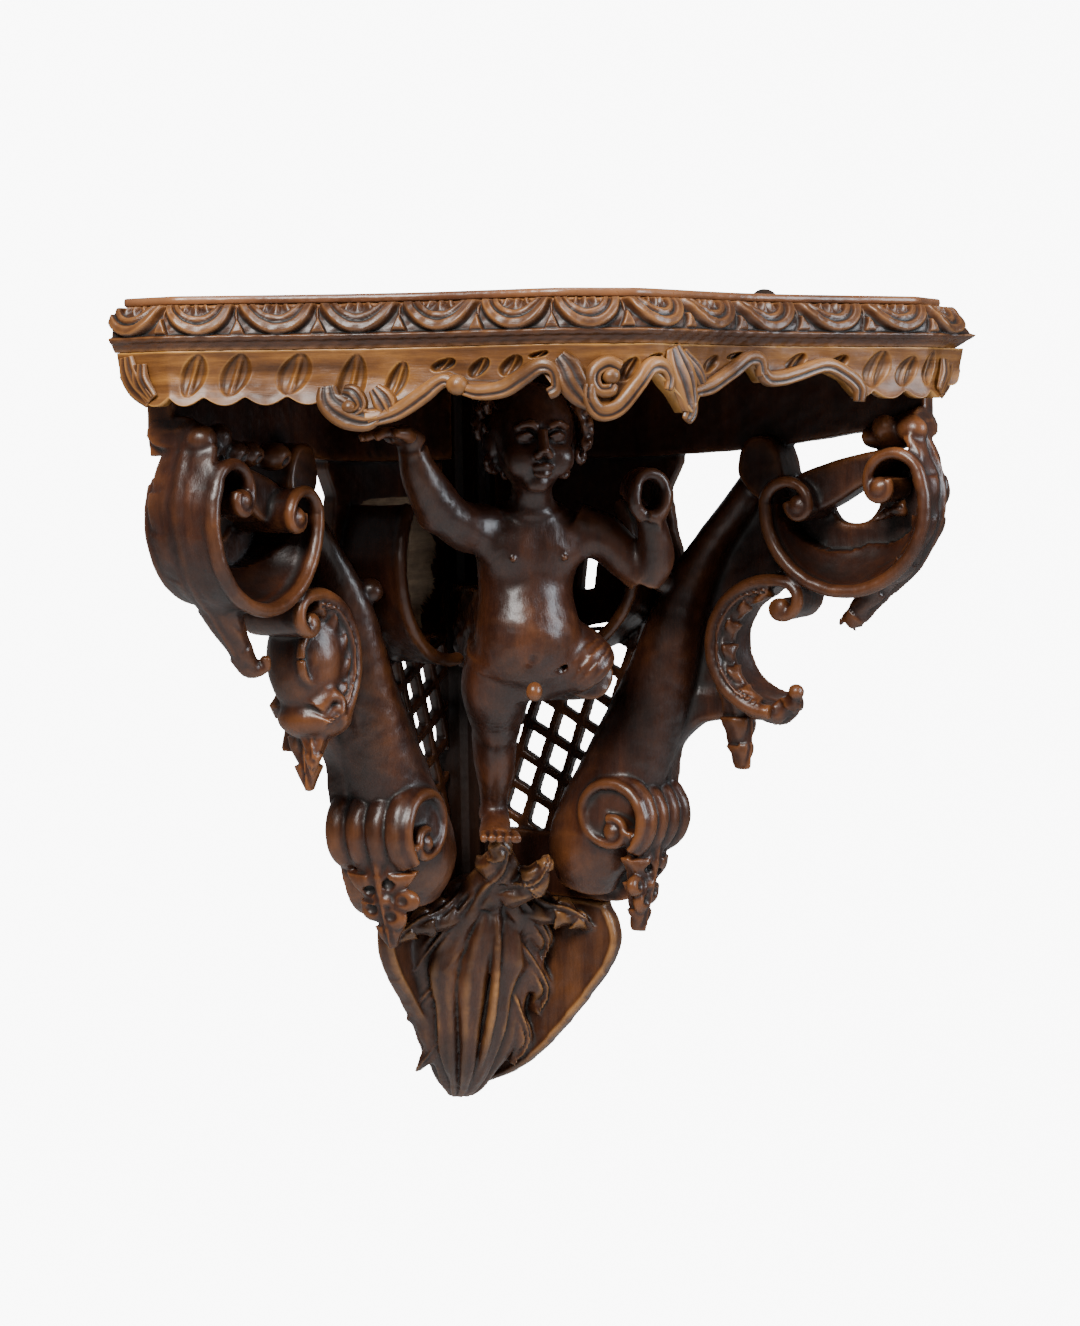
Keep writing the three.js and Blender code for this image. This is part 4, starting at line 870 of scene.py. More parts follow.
    # lower scroll: pendant, reeds and flower
    leaf([(192, -398, 34, 29, 9), (188, -426, 34, 26, 9), (184, -454, 36, 18, 8),
        (182, -478, 38, 9, 6)], (1, 0, 0.2), lobes=4, ribs=1.4, dish=0.1, serration=0.4, soft=3)
    for k in range(4):
        share = k / 3
        ring = []
        for turn in np.radians(np.linspace(-55, 114, 9)):
            r = 30 + lerp(8, 0, share) * math.cos(turn) ** 2
            ring.append((LOWER[0] + r * math.cos(turn), LOWER[1] + r * math.sin(turn),
                lerp(9, RELIEF - 6, share), 6, 7))
        limb(ring, face=(0, 0, 1), soft=1.0)
    centre = (182, -440, 38)
    for k in range(5):
        turn = math.radians(72 * k + 20)
        pu, pv, pw = centre[0] + 5, centre[1] - 13 * math.cos(turn), centre[2] + 13 * math.sin(turn)
        ball((pu, pv, pw), (5.5, 8.5 + 2.5 * abs(math.cos(turn)), 8.5 + 2.5 * abs(math.sin(turn))),
            soft=1.0)
        ball((pu + 6, pv, pw), (3.5, 4.5, 4.5), soft=1.0, cut=True)
    ball((centre[0] + 9, centre[1], centre[2]), (5, 5, 5), soft=0.8)
    if broken:
        flat([(tu - 14, tv + 2), (tu - 4, tv - 3), (tu + 2, tv + 5), (tu + 8, tv - 2),
            (tu + 20, tv - 30), (tu - 30, tv - 30)], -5, 70, soft=0.5, cut=True)

    block = volume.distance
    us, vs, ws = [volume.low[k] + cell * np.arange(block.shape[k]) for k in range(3)]
    block[:] = np.maximum(block, (vs - top)[None, :, None])
    block[:] = np.maximum(block, (-WING_TIP - vs)[None, :, None])
    rail_foot = spline([(408, -105), (384, -99), (370, -94), (318, -101), (274, -106), (232, -109),
        (150, -112), (SHEET_START, -112)], 50)
    under_board, inside_moulding = -BOARD_THICK - GAP, on_sheet(SHELF_END - STRIP_DEPTH - GAP)
    rail_end = min(410, on_sheet(SHELF_END - APRON_SETBACK - APRON_THICK - GAP))
    rail = [(SHEET_START, under_board), (inside_moulding, under_board), (inside_moulding, top),
        (rail_end, top), (rail_end, -84)] + [tuple(p) for p in rail_foot]
    flat(rail, -6, RAIL_THICK, soft=0)
    if broken:
        half, foot = PLATE_WIDTH / 2 + GAP, -PLATE_TAIL - GAP
        plate = [(PLATE_U - half, 0), (PLATE_U + half, 0), (PLATE_U + half, foot),
            (PLATE_U - half, foot)]
        flat(plate, -8, PLATE_THICK + GAP, soft=0, cut=True, bevel=0.1)
    block[:] = np.maximum(block, -ws[None, None, :])
    block[:] = np.maximum(block, (SHEET_START - us)[:, None, None])
    hand = 1 if node_name == "wing_right" else -1
    lift = 1 if hand > 0 else LEFT_RELIEF / RELIEF

    def to_local(p):
        u = SHEET_START + (p[:, 0] - POST_LEG - GAP) * scale
        w = p[:, 2] * lift
        return np.stack([hand * (u - w), -(u + w), p[:, 1] * math.sqrt(2)], -1) / math.sqrt(2)

    points, quads = volume.mesh()
    if hand < 0:
        quads = quads[:, ::-1]
    piece = shaped(points, quads, name, material, [node_name], to_local)
    if rough_material:
        raw_wood(piece, rough_material)
    return piece


def raw_wood(piece, material):
    """The unvarnished wood of the left wing behind the figure, inside the inner scroll."""
    mesh = piece.data
    mesh.materials.append(material)
    centre = np.empty(len(mesh.polygons) * 3)
    mesh.polygons.foreach_get("center", centre)
    x, y, z = (centre.reshape(-1, 3) * 1000 - [0, CORNER_CUT, MOUNT_DROP]).T
    u, w = -(x + y) / math.sqrt(2), (x - y) / math.sqrt(2)
    inside = (np.hypot(u - INNER[0], z - INNER[1]) < 60 + 4 * np.sin(z / 5)) & (w < 22) & (z < -140)
    mesh.polygons.foreach_set("material_index", inside.astype(np.int32))


# Putto, with its pose in shares of height and reach

CURLS = 80


def putto(material):
    height = FIGURE_TOP - SOLE
    volume = Volume((-150, -300, -410), (125, -52, -44), FINE)

    def at(x, y, z):
        return (x, -y * FIGURE_REACH, SOLE + z * height)

    def limb(rows, **options):
        """A limb through rows of (x, share of reach, share of height, two radii)."""
        volume.limb([(*at(*row[:3]), *row[3:]) for row in rows], **options)

    def head_limb(rows, **options):
        volume.limb([(hx + x, hy + y, hz + z, *radii) for x, y, z, *radii in rows], **options)

    def head_ball(offset, radii, **options):
        volume.ball(np.add(offset, (hx, hy, hz)), radii, **options)

    limb([(4, 0.8, 0.34, 26, 22), (6, 0.83, 0.4, 41, 32), (3, 0.87, 0.47, 39, 34),
        (1, 0.88, 0.55, 35, 29), (2, 0.89, 0.63, 38, 27), (3, 0.91, 0.69, 40, 25),
        (3, 0.93, 0.735, 26, 19)], soft=8)
    limb([(2, 0.95, 0.74, 17, 15), (1, 0.98, 0.78, 14, 14), (0, 1.0, 0.83, 15, 15)], soft=8)
    limb([(-14, 0.82, 0.42, 26, 27), (-16, 0.77, 0.34, 26, 27), (-12, 0.69, 0.26, 19, 20),
        (-11, 0.65, 0.22, 17, 19), (-8, 0.6, 0.15, 15, 17), (-6, 0.55, 0.09, 11, 12),
        (-6, 0.53, 0.04, 10, 11)], soft=8)
    volume.ball(at(-12, 0.72, 0.245), (13, 12, 12), soft=6)
    limb([(-4, 0.47, 0.05, 9, 10), (-6, 0.56, 0.035, 11, 9), (-11, 0.64, 0.018, 12, 7),
        (-14, 0.69, 0.012, 12, 5)], face=(0, 0, 1), soft=5)
    for k in range(5):
        limb([(-22 + 5.2 * k, 0.68 + 0.01 * k, 0.014, 3.2 + 0.8 * (k == 4), 4),
            (-24 + 5.6 * k, 0.715 + 0.013 * k, 0.008, 3 + 1.2 * (k == 4), 3)], face=(0, 0, 1),
            soft=1.2)
    limb([(20, 0.78, 0.44, 25, 26), (36, 0.84, 0.41, 27, 27), (46, 0.89, 0.39, 24, 24),
        (52, 0.89, 0.372, 19, 18)], soft=8)
    limb([(50, 0.88, 0.37, 18, 18), (46, 0.72, 0.355, 17, 17), (36, 0.55, 0.335, 13, 14),
        (28, 0.42, 0.315, 9, 10)], face=(0, 0, 1), soft=7)
    limb([(26, 0.4, 0.32, 9, 9), (24, 0.37, 0.28, 9, 8), (22, 0.37, 0.23, 7, 5)], face=(0, 1, 0),
        soft=5)
    limb([(-30, 0.92, 0.69, 18, 19), (-46, 0.95, 0.695, 18, 18), (-62, 1.0, 0.72, 16, 16),
        (-76, 1.03, 0.765, 16, 16), (-87, 1.06, 0.82, 13, 14), (-91, 1.08, 0.86, 10, 11)], soft=7)
    volume.ball(at(-72, 1.0, 0.73), (14, 14, 14), soft=6)
    limb([(-90, 1.08, 0.865, 11, 10), (-98, 1.09, 0.885, 14, 8), (-108, 1.1, 0.89, 14, 6)],
        face=(0, 0, 1), soft=5)
    for k, (yy, length) in enumerate(((-15, 16), (-8, 22), (0, 24), (8, 21))):
        x, y, z = at(-106, 1.1, 0.892)
        volume.limb([(x, y + yy, z, 4.2, 4), (x - length * 0.5, y + yy * 1.1, z + 1, 3.9, 3.8),
            (x - length, y + yy * 1.15, z - 3, 3, 3)], face=(0, 0, 1), soft=1.2)
    x, y, z = at(-96, 1.1, 0.885)
    volume.limb([(x, y - 10, z, 5, 5), (x - 6, y - 19, z + 2, 4.4, 4.2),
        (x - 14, y - 24, z + 3, 3.2, 3)], face=(0, 0, 1), soft=2)
    limb([(36, 0.92, 0.69, 18, 19), (56, 0.95, 0.665, 17, 18), (72, 0.97, 0.62, 15, 16),
        (84, 0.99, 0.585, 14, 14)], soft=7)
    limb([(84, 0.99, 0.578, 13, 13), (90, 1.02, 0.62, 14, 15), (86, 1.06, 0.68, 11, 12),
        (80, 1.08, 0.72, 9, 10)], soft=6)
    hx, hy, hz = at(79, 1.08, 0.757)
    for k in range(4):
        y = hy - 11 + 7.4 * k
        ring = [(hx + 12.5 * math.cos(a), y + 1.5 * math.cos(a), hz + 15.5 * math.sin(a), 4.3, 4.4)
            for a in np.radians(np.linspace(-100, 205 - 8 * k, 12))]
        volume.limb(ring, face=(0, 1, 0), soft=1.2)
    volume.limb([(hx + 2, hy - 2, hz - 20, 9, 12), (hx + 10, hy, hz - 10, 6, 13),
        (hx + 13, hy, hz + 2, 4.5, 12)], soft=4)
    volume.limb([(hx - 4, hy - 8, hz - 16, 5, 5), (hx - 12, hy - 12, hz - 6, 4.6, 4.6),
        (hx - 11, hy - 13, hz + 6, 4, 4)], soft=2)
    for side in (-1, 1):
        volume.ball(at(3 + side * 18, 0.958, 0.645), (20, 12, 14), soft=12)
        volume.ball(at(3 + side * 19, 1.014, 0.628), (2.4, 2, 2.4), soft=1.5)
    volume.ball(at(-1, 0.925, 0.465), (31, 24, 33), soft=14)
    volume.ball(at(-3, 1.035, 0.415), (3.6, 5, 3.2), soft=2.5, cut=True)
    volume.ball(at(-4, 1.05, 0.352), (6, 6, 7), soft=3)
    volume.ball(at(3, 1.04, 0.6), (3, 5, 26), soft=6, cut=True)
    for side, z in ((-1, 0.33), (1, 0.372)):
        limb([(side * 30 - 4, 0.95, z + 0.03, 2, 2), (side * 16 - 4, 1.01, z - 0.005, 2, 2),
            (side * 6 - 4, 1.02, z - 0.03, 2, 2)], soft=4, cut=True)

    hx, hy, hz = at(0, 1, 0.885)
    r = HEAD_RADIUS
    head_ball((0, 2, 7), (r * 0.97, r * 1.08, r * 0.98), soft=8)
    head_ball((-1, -8, -12), (r * 0.78, r * 0.82, r * 0.86), soft=10)
    head_ball((-2, -22, -34), (9, 8, 7), soft=6)
    for side in (-1, 1):
        head_ball((-1 + side * 14, -24, -17), (11, 10, 12), soft=7)
        head_ball((-1 + side * 12, -33, -1), (8, 6, 5.5), soft=5, cut=True)
        head_ball((-1 + side * 11.5, -28, -1.5), (6.6, 4.6, 4.6), soft=0.8)
        head_limb([(side * 4.5, -33, 5.5, 2.4, 2.4), (side * 11, -32.5, 8, 2.6, 2.6),
            (side * 19, -27, 5, 2.2, 2.2)], soft=3)
        head_limb([(-1 + side * 5.5, -32, -1.5, 1.1, 1.1), (-1 + side * 11.5, -33, 0.8, 1.2, 1.2),
            (-1 + side * 18, -29, -1.5, 1, 1)], soft=0.8)
        head_ball((-1 + side * 4.2, -36, -14.5), (3.2, 3.4, 3), soft=1.8)
        head_ball((side * 30, 2, -8), (4.5, 8, 10), soft=2)
    head_limb([(-1, -34, 3, 3.4, 3.4), (-1, -37, -6, 3.6, 3.6), (-1, -39.5, -13, 4.6, 4.4)], soft=3)
    head_limb([(-8, -33, -23.5, 2, 2), (-1, -36.5, -22, 2.8, 2.6), (6, -33, -23.5, 2, 2)], soft=2)
    head_limb([(-7, -32.5, -27, 2, 2), (-1, -35, -28, 3.2, 2.8), (5, -32.5, -27, 2, 2)], soft=2)
    head_limb([(-9, -34, -25, 0.9, 0.9), (-1, -38.5, -25, 1, 1), (7, -34, -25, 0.9, 0.9)], soft=0.8,
        cut=True)
    head_ball((0, 12, 4), (r * 1.12, r * 0.95, r * 1.1), soft=4)
    for _ in range(CURLS):
        turn = rng.uniform(-0.45, math.pi + 0.45)
        rise = rng.uniform(-0.85, 0.75)
        flat = math.sqrt(1 - rise * rise)
        side, back_way = math.cos(turn) * flat, math.sin(turn) * flat
        cx, cy, cz = hx + side * (r + 8), hy + 2 + back_way * (r + 3), hz + 2 + rise * (r + 4)
        size = rng.uniform(5, 7)
        ring = []
        for a in np.linspace(0, 3.2 * math.pi, 14):
            grow = size * (1 - 0.085 * a)
            ring.append((cx + side * 0.5 * a + grow * math.cos(a) * (1 - abs(side) * 0.5),
                cy + grow * 0.5 * math.cos(a) - 0.4 * a, cz + grow * math.sin(a), 2.1, 2.1))
        volume.limb(ring, soft=0.8)

    deep = FIGURE_REACH * 0.8 - POST_LEG * math.sqrt(2) - GAP
    low = (-19, -POST_LEG * math.sqrt(2) - GAP - deep, FIGURE_TOP - 219)
    high = (23, -POST_LEG * math.sqrt(2) - GAP, FIGURE_TOP - 157)
    slices, axes = volume.part(np.array(low) - MARGIN, np.array(high) + MARGIN)
    x, y, z = np.meshgrid(*axes, indexing="ij")
    rough = 1.6 * np.sin(x / 4.1 + 2 * np.sin(z / 7.7)) * np.sin(z / 5.2 + y / 6) + 1.1 * np.sin(y
        / 2.9 + x / 3.7)
    value = np.maximum.reduce([low[0] - x, x - high[0], low[1] - y, low[2] - z,
        z - high[2]]) + rough
    value = np.maximum(value, y - high[1])
    volume.put(slices, value, 2.0)
    grid = volume.distance
    ys = volume.low[1] + volume.cell * np.arange(grid.shape[1])
    grid[:] = np.maximum(grid, (ys + POST_LEG * math.sqrt(2) + GAP)[None, :, None])
    zs = volume.low[2] + volume.cell * np.arange(grid.shape[2])
    grid[:] = np.maximum(grid, (zs + BOARD_THICK + HEAD_ROOM - 6)[None, None, :])
    points, quads = volume.mesh()
    return shaped(points, quads, "carved_putto", material, ["putto"], lambda p: p)


# Drop: two cheeks on the walls and the acanthus over the corner

def corner_drop(material):
    top = -WING_FOOT - GAP
    tip = -TOTAL_HEIGHT

    def down(share):
        return top + (tip - top) * share

    volume = Volume((-150, -160, -640), (160, 2, -388), FINE)
    xs, ys, zs = [volume.low[k] + volume.cell * np.arange(volume.distance.shape[k])
        for k in range(3)]
    outline = spline([(0.04, 0), (0.84, 0), (0.95, 0.04), (1, 0.16), (0.97, 0.28), (0.86, 0.42),
        (0.68, 0.61), (0.48, 0.79), (0.27, 0.91), (0.04, 0.98)], 50)
    for hand, width, lean in ((1, CHEEK_RIGHT, 0), (-1, CHEEK_LEFT, CHEEK_LEAN)):
        slices, axes = volume.part((min(0, hand * width) - 4, -width, tip - 4),
            (max(0, hand * width) + 4, 2, top + 4))
        x, y, z = np.meshgrid(*axes, indexing="ij", sparse=True)
        u, w = (hand * x - y) / math.sqrt(2), -(hand * x + y) / math.sqrt(2)
        table_u = np.arange(-20, 190, 1.0)
        table = polygon_distance(table_u[:, None], axes[2][None, :].astype(float),
            np.stack([outline[:, 0] * width - np.sin(np.pi * outline[:, 1]) * lean,
            down(outline[:, 1])], -1))
        index = np.clip(np.round(u[:, :, 0] + 20).astype(int), 0, len(table_u) - 1)
        plan = table[index]
        depth = np.abs(w - PANEL_THICK / 2) - PANEL_THICK / 2 + 0 * z
        value = rounded_max(plan, depth, 3.0)
        rim = bump(plan, -3.0, 3.2) * 1.2
        volume.put(slices, value - rim * (w > 6), 2.0)

    def flutes(a, d, t, ra, rd):
        turn = np.arctan2(d / rd, a / ra)
        line = turn * 6.5 + 1.6 * np.sin(2.4 * t + 0.8 * np.cos(turn))
        comb = 1 - 2 * np.abs(np.sin(line)) ** 0.6
        fine = np.cos(26 * turn + 4 * t)
        ragged = 0.06 * np.sin(23 * t + 4 * np.cos(turn)) * ra * np.abs(np.cos(turn))
        return ellipse(a, d, t, ra, rd) + ragged + (3.4 * comb - 0.6 * fine) * smooth(0, 0.12,
            t) * np.clip(ra / 30, 0.3, 1)

    front = (0, -1, 0)
    body = [(0, -66, down(-0.1), 26, 22), (-3, -70, down(0.06), 42, 28),
        (-9, -64, down(0.26), 54, 30), (-11, -57, down(0.49), 47, 27),
        (-11, -47, down(0.73), 35, 22), (-12, -34, down(0.89), 21, 14), (-14, -22, down(1.0), 9, 7)]
    volume.swept(body, flutes, front, 64, soft=4)
    for hand in (-1, 1):
        for start, aside, end, size in ((-0.06, 50, 0.3, 16), (0.16, 53, 0.56, 15),
                (0.42, 40, 0.82, 13)):
            fall = lerp(92, 40, start)
            shift = -15 * end * end
            volume.leaf([(hand * 14, -fall, down(start), size * 0.8, 7),
                (hand * aside * 0.58, -fall + 2, down(lerp(start, end, 0.3)), size, 7),
                (hand * aside * 0.9 + shift * 0.4, -fall + aside * 0.28,
                down(lerp(start, end, 0.7)), size * 0.9, 6), (hand * aside + shift - 6,
                -fall + aside * 0.4, down(end), 6, 4)], (hand * 0.5, -1, 0), lobes=2, ribs=2.0,
                dish=0.3, serration=0.12, soft=5)
    volume.limb([(0, -84, down(-0.14), 6, 7), (2, -98, down(0.1), 4, 6),
        (1, -94, down(0.4), 3.6, 6), (-3, -74, down(0.7), 3.4, 6), (-10, -36, down(0.97), 3, 4)],
        soft=2)
    for hand, size in ((1, 1.0), (-1, 0.85)):
        volume.leaf([(hand * 14, -84, down(-0.1), 14, 8), (hand * 40, -94, down(0.02), 17, 8),
            (hand * 62, -100, down(0.06), 15, 7), (hand * 80, -98, down(0.14), 7, 5)],
            (0, -0.8, 0.6), lobes=4, ribs=1.5, dish=0.15, serration=0.4, soft=2)
    volume.leaf([(-8, -92, SOLE - 56, 18, 13), (0, -110, SOLE - 34, 21, 12),
        (0, -124, SOLE - 17, 18, 8), (-6, -132, SOLE - 8.5, 11, 5)], (0, -0.8, 0.5), lobes=3,
        ribs=1.3, dish=0.1, serration=0.35, soft=4)
    volume.leaf([(8, -106, SOLE - 52, 12, 10), (24, -122, SOLE - 42, 16, 9),
        (33, -132, SOLE - 28, 11, 7), (36, -130, SOLE - 20, 7, 5)], (0.3, -0.8, 0.5), lobes=3,
        ribs=1.3, dish=0.1, serration=0.35, soft=4)
    block = volume.distance
    for hand in (-1, 1):
        wall = (hand * xs[:, None] + ys[None, :]) / math.sqrt(2)
        block[:] = np.maximum(block, wall[:, :, None])
    block[:] = np.maximum(block, (ys + CORNER_CUT)[None, :, None])
    under_wings = np.minimum(zs[None, :] - top, ys[:, None] + DROP_LEDGE)
    block[:] = np.maximum(block, under_wings[None, :, :])
    block[:] = np.maximum(block, (tip - zs)[None, None, :])
    block[:] = np.maximum(block, (zs - SOLE + 3)[None, None, :])
    points, quads = volume.mesh()
    return shaped(points, quads, "carved_drop", material, ["corner_drop"], lambda p: p)


# Materials

def new_material(name):
    material = bpy.data.materials.new(name)
    material.use_nodes = True
    return material, material.node_tree, material.node_tree.nodes["Principled BSDF"]


def set_inputs(node, values):
    for name, value in values.items():
        node.inputs[name].default_value = value


def bumped(tree, shader, height, strength, distance):
    relief = tree.nodes.new("ShaderNodeBump")
    set_inputs(relief, {"Strength": strength, "Distance": distance})
    tree.links.new(height, relief.inputs["Height"])
    tree.links.new(relief.outputs["Normal"], shader.inputs["Normal"])


def ramp(tree, source, stops):
    node = tree.nodes.new("ShaderNodeValToRGB")
    while len(node.color_ramp.elements) < len(stops):
        node.color_ramp.elements.new(0.5)
    for element, (position, colour) in zip(node.color_ramp.elements, stops):
        element.position = position
        element.color = (*colour, 1)
    tree.links.new(source, node.inputs["Fac"])
    return node.outputs["Color"]


def maths(tree, operation, a, b):
    node = tree.nodes.new("ShaderNodeMath")
    node.operation = operation
    for socket, value in zip(node.inputs, (a, b)):
        if isinstance(value, (int, float)):
            socket.default_value = value
        else:
            tree.links.new(value, socket)
    return node.outputs[0]


def blend_colour(tree, mode, factor, a, b):
    node = tree.nodes.new("ShaderNodeMix")
    node.data_type = "RGBA"
    node.blend_type = mode
    for socket, value in zip((node.inputs["Factor"], node.inputs["A"], node.inputs["B"]),
            (factor, a, b)):
        if isinstance(value, (int, float)):
            socket.default_value = value
        elif isinstance(value, tuple):
            socket.default_value = (*value, 1)
        else:
            tree.links.new(value, socket)
    return node.outputs["Result"]


def noise(tree, vector, scale, detail=6.0, roughness=0.6):
    node = tree.nodes.new("ShaderNodeTexNoise")
    set_inputs(node, {"Scale": scale, "Detail": detail, "Roughness": roughness})
    tree.links.new(vector, node.inputs["Vector"])
    return node.outputs["Fac"]


def spread(tree, value, low, high):
    node = tree.nodes.new("ShaderNodeMapRange")
    set_inputs(node, {"From Min": low, "From Max": high})
    tree.links.new(value, node.inputs["Value"])
    return node.outputs["Result"]


def relief_value(tree, name):
    node = tree.nodes.new("ShaderNodeAttribute")
    node.attribute_name = name
    return node.outputs["Fac"]


def walnut(name, deep, middle, light, wear_and_highlight_colour, grain=(42, 42, 5), turn=(0, 0, 0), rough=0.36,
        painted_shade_strength=1.0, tool=0.9):
    """Varnished walnut: streaked grain, high points lightened partly for wear and partly as a
    painted highlight, and painted shade darkening the hollows.
    """
    material, tree, shader = new_material(name)

    def plus(a, b):
        return maths(tree, "ADD", a, b)

    def times(a, b):
        return maths(tree, "MULTIPLY", a, b)

    where = tree.nodes.new("ShaderNodeTexCoord").outputs["Object"]
    stretch = tree.nodes.new("ShaderNodeMapping")
    set_inputs(stretch, {"Rotation": [math.radians(a) for a in turn], "Scale": grain})
    tree.links.new(where, stretch.inputs["Vector"])
    streaks = noise(tree, stretch.outputs["Vector"], 1.2, 8.0, 0.62)
    fibres = noise(tree, stretch.outputs["Vector"], 12.0, 4.0, 0.7)
    clouds = noise(tree, where, 9.0, 5.0, 0.6)
    facets = tree.nodes.new("ShaderNodeTexVoronoi")
    facets.feature = "SMOOTH_F1"
    set_inputs(facets, {"Scale": 130.0, "Smoothness": 0.35})
    tree.links.new(where, facets.inputs["Vector"])
    smudges = noise(tree, where, 38.0, 6.0, 0.65)
    tone = plus(times(streaks, 0.55), times(clouds, 0.45))
    colour = ramp(tree, tone, [(0.34, deep), (0.5, middle), (0.66, light)])
    fibre_dark = spread(tree, fibres, 0.38, 0.62)
    colour = blend_colour(tree, "MULTIPLY", 0.35, colour,
        ramp(tree, fibre_dark, [(0, (0.45, 0.4, 0.38)), (1, (1, 1, 1))]))
    fine, broad = relief_value(tree, "fine"), relief_value(tree, "broad")
    high = plus(times(fine, 0.55), times(broad, 0.45))
    # Raised points blend towards the lighter colour: partly real wear, partly a painted highlight.
    wear_and_highlight = spread(tree, plus(high, times(maths(tree, "SUBTRACT", smudges, 0.5), 0.35)), 0.08, 0.62)
    patch = spread(tree, clouds, 0.4, 0.62)
    patch = plus(times(patch, 0.75), 0.12)
    colour = blend_colour(tree, "MIX", times(wear_and_highlight, patch), colour, wear_and_highlight_colour)
    # Painted shade: the hollows are darkened towards near black where shade falls, and made
    # rougher.
    hollow = spread(tree, plus(times(high, -1.0), times(maths(tree, "SUBTRACT", smudges, 0.5),
        0.3)), 0.02, 0.5)
    colour = blend_colour(tree, "MIX", times(hollow, 0.9 * painted_shade_strength), colour, (0.006, 0.004, 0.003))
    tree.links.new(colour, shader.inputs["Base Color"])
    gloss = plus(times(smudges, 0.28), rough - 0.14)
    gloss = plus(gloss, times(hollow, 0.3))
    tree.links.new(gloss, shader.inputs["Roughness"])
    set_inputs(shader, {"Specular IOR Level": 0.42, "Coat Weight": 0.12, "Coat Roughness": 0.22})
    height = plus(times(fibres, 0.5), times(smudges, 0.9))
    height = plus(height, times(facets.outputs["Distance"], tool))
    bumped(tree, shader, height, 0.35, 0.0012)
    return material


def iron(name):
    material, tree, shader = new_material(name)
    where = tree.nodes.new("ShaderNodeTexCoord").outputs["Object"]
    rust = noise(tree, where, 60.0)
    tree.links.new(ramp(tree, rust, [(0.4, (0.012, 0.011, 0.01)), (0.7, (0.05, 0.03, 0.02))]),
        shader.inputs["Base Color"])
    tree.links.new(spread(tree, rust, -0.4, 1.2), shader.inputs["Roughness"])
    set_inputs(shader, {"Metallic": 0.7})
    bumped(tree, shader, rust, 0.4, 0.0008)
    return material


# Stage, light and camera

SWEEP_GLOW = 9.0


def pale(name, colour):
    """The backdrop's material. It glows for the camera alone, so it lights nothing."""
    material, tree, shader = new_material(name)
    set_inputs(shader, {"Base Color": (*colour, 1), "Roughness": 0.9,
        "Emission Color": (1, 1, 1, 1)})
    seen = tree.nodes.new("ShaderNodeLightPath").outputs["Is Camera Ray"]
    tree.links.new(maths(tree, "MULTIPLY", seen, SWEEP_GLOW), shader.inputs["Emission Strength"])
    return material


def stage():
    """A pale floor that sweeps up behind the bracket."""
    near, bend, radius, top, half_width, below = -4.0, 3.0, 1.5, 7.0, 9.0, 0.9
    profile = [(near, 0.0), (bend, 0.0)]
    profile += [(bend + radius * math.sin(a), radius - radius * math.cos(a))
        for a in np.linspace(0.1, math.pi / 2, 12)]
    profile += [(bend + radius, top)]
    floor_height = -(TOTAL_HEIGHT - MOUNT_DROP) / 1000 - below
    points = [(x, y, z + floor_height) for y, z in profile for x in (-half_width, half_width)]
    faces = [(2 * k, 2 * k + 1, 2 * k + 3, 2 * k + 2) for k in range(len(profile) - 1)]
    mesh = bpy.data.meshes.new("sweep")
    mesh.from_pydata(points, [], faces)
    for polygon in mesh.polygons:
        polygon.use_smooth = True
    sweep = linked("sweep", mesh)
    mesh.materials.append(pale("pale_sweep", (0.6, 0.6, 0.6)))


def area_light(name, place, target, size, power, colour=(1, 1, 1)):
    light = bpy.data.lights.new(name, "AREA")
    light.shape = "RECTANGLE"
    light.size, light.size_y = size
    light.energy = power
    light.color = colour
    lamp = linked(name, light)
    lamp.location = place
    way = np.array(target) - np.array(place)
    yaw = math.atan2(-way[0], way[1])
    pitch = math.atan2(way[2], math.hypot(way[0], way[1]))
    lamp.rotation_euler = (math.pi / 2 + pitch, 0, yaw)


def lights():
    world = bpy.data.worlds.new("studio")
    bpy.context.scene.world = world
    world.use_nodes = True
    background = world.node_tree.nodes["Background"]
    background.inputs["Color"].default_value = (1.0, 1.0, 1.0, 1)
    background.inputs["Strength"].default_value = 0.16
    middle = (0, -0.25, -0.2)
    area_light("key", (-1.3, -2.2, 1.5), middle, (1.0, 1.0), 150, (1.0, 0.98, 0.95))
    area_light("window", (1.9, -1.6, 0.5), middle, (0.7, 1.4), 62, (0.82, 0.91, 1.0))
    area_light("top", (0.1, -1.0, 2.2), middle, (1.4, 1.0), 40)


CAMERA_TURN = math.radians(15.2)  # the camera stands this far left of the middle axis
CAMERA_DISTANCE = 1700
CAMERA_DROP = 95
CAMERA_YAW = math.radians(14.8)
CAMERA_PITCH = math.radians(-5.3)
CAMERA_ROLL = math.radians(-0.85)
FOCAL_PIXELS = 2440
PHOTO_HEIGHT = 1326
SENSOR = 36


def camera():
    place = np.array([-math.sin(CAMERA_TURN) * CAMERA_DISTANCE,
        -300 - math.cos(CAMERA_TURN) * CAMERA_DISTANCE, -CAMERA_DROP])
    ahead = Vector((math.sin(CAMERA_YAW) * math.cos(CAMERA_PITCH),
        math.cos(CAMERA_YAW) * math.cos(CAMERA_PITCH), math.sin(CAMERA_PITCH)))
    level = Vector((math.cos(CAMERA_YAW), -math.sin(CAMERA_YAW), 0))
    upright = level.cross(ahead)
    right = level * math.cos(CAMERA_ROLL) + upright * math.sin(CAMERA_ROLL)
    up = upright * math.cos(CAMERA_ROLL) - level * math.sin(CAMERA_ROLL)
    data = bpy.data.cameras.new("photo_view")
    data.sensor_width = SENSOR
    data.sensor_fit = "AUTO"
    data.lens = FOCAL_PIXELS * SENSOR / PHOTO_HEIGHT
    view = linked("photo_view", data)
    turn = Matrix((right, up, -ahead)).transposed().to_4x4()
    view.matrix_world = Matrix.Translation(Vector(placed(place))) @ turn
    bpy.context.scene.camera = view


camera()
lights()
stage()

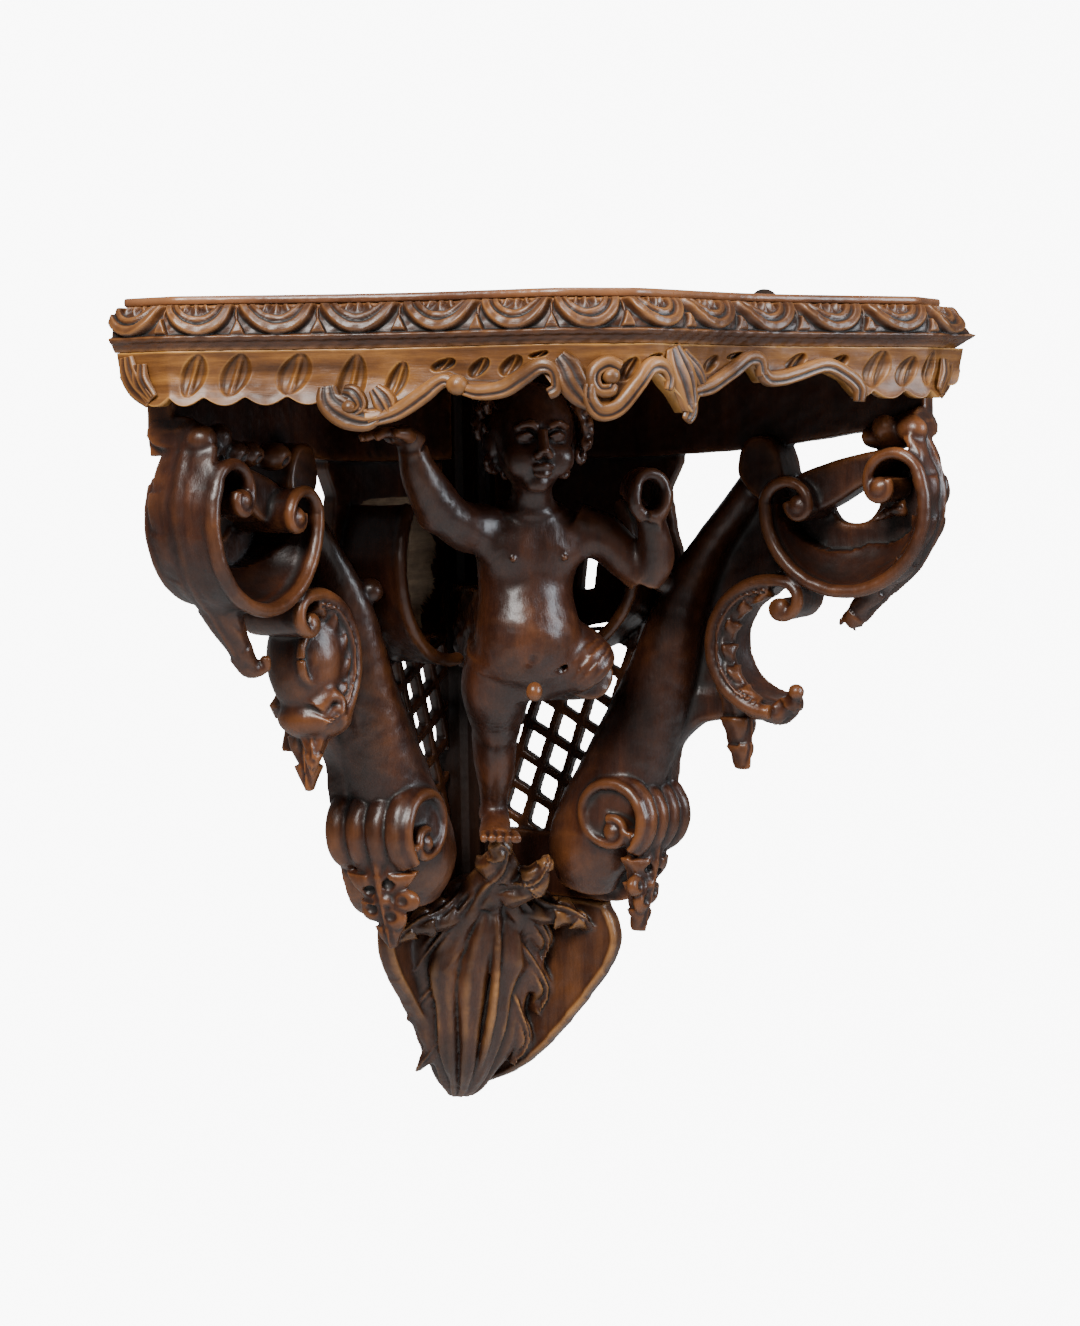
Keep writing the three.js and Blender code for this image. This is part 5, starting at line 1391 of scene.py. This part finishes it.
WALNUT = walnut("walnut", (0.009, 0.0028, 0.0014), (0.034, 0.0098, 0.0042), (0.08, 0.024, 0.008),
    (0.19, 0.065, 0.018))
MOULDING_WALNUT = walnut("moulding_walnut", (0.014, 0.005, 0.0025), (0.052, 0.018, 0.0065),
    (0.11, 0.041, 0.013), (0.25, 0.105, 0.032), grain=(12, 12, 90), turn=(90, 0, 0), painted_shade_strength=1.1)
WORN_WALNUT = walnut("worn_walnut", (0.036, 0.012, 0.0035), (0.14, 0.052, 0.011),
    (0.31, 0.13, 0.027), (0.46, 0.22, 0.05), grain=(9, 9, 110), turn=(90, 0, 0), rough=0.42)
RIBBON_WALNUT = walnut("ribbon_walnut", (0.016, 0.0055, 0.0025), (0.058, 0.021, 0.007),
    (0.12, 0.045, 0.014), (0.3, 0.13, 0.036), grain=(12, 12, 90), turn=(90, 0, 0), painted_shade_strength=1.1)
# The drop's high-point colour is set bright to paint a highlight on its flutes, on top of their
# wear.
DROP_WALNUT = walnut("drop_walnut", (0.012, 0.004, 0.002), (0.05, 0.016, 0.006),
    (0.12, 0.042, 0.013), (0.36, 0.165, 0.05))
TOP_WALNUT = walnut("top_walnut", (0.03, 0.01, 0.006), (0.085, 0.028, 0.013), (0.15, 0.058, 0.024),
    (0.24, 0.1, 0.04), grain=(8, 60, 8), rough=0.3)
DARK_WALNUT = walnut("dark_walnut", (0.008, 0.003, 0.0015), (0.02, 0.007, 0.003),
    (0.04, 0.014, 0.005), (0.08, 0.03, 0.01), rough=0.5)
RAW_WALNUT = walnut("raw_walnut", (0.09, 0.05, 0.026), (0.22, 0.14, 0.08), (0.38, 0.26, 0.16),
    (0.5, 0.36, 0.24), grain=(5, 5, 40), rough=0.75, painted_shade_strength=0.6)
IRON = iron("iron")

shelf_board(TOP_WALNUT)
shelf_moulding(MOULDING_WALNUT)
apron(WORN_WALNUT, RIBBON_WALNUT)

wing("right_wing", "wing_right", RIGHT_REACH, (350, -238, 28), WALNUT)
wing("left_wing", "wing_left", LEFT_REACH, (345, -254, 34), WALNUT, RAW_WALNUT)
putto(WALNUT)
corner_drop(DROP_WALNUT)

for node_name, node_material in (("corner_post", DARK_WALNUT), ("hanging_plate", IRON)):
    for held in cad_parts[node_name].material_slots:
        held.material = node_material
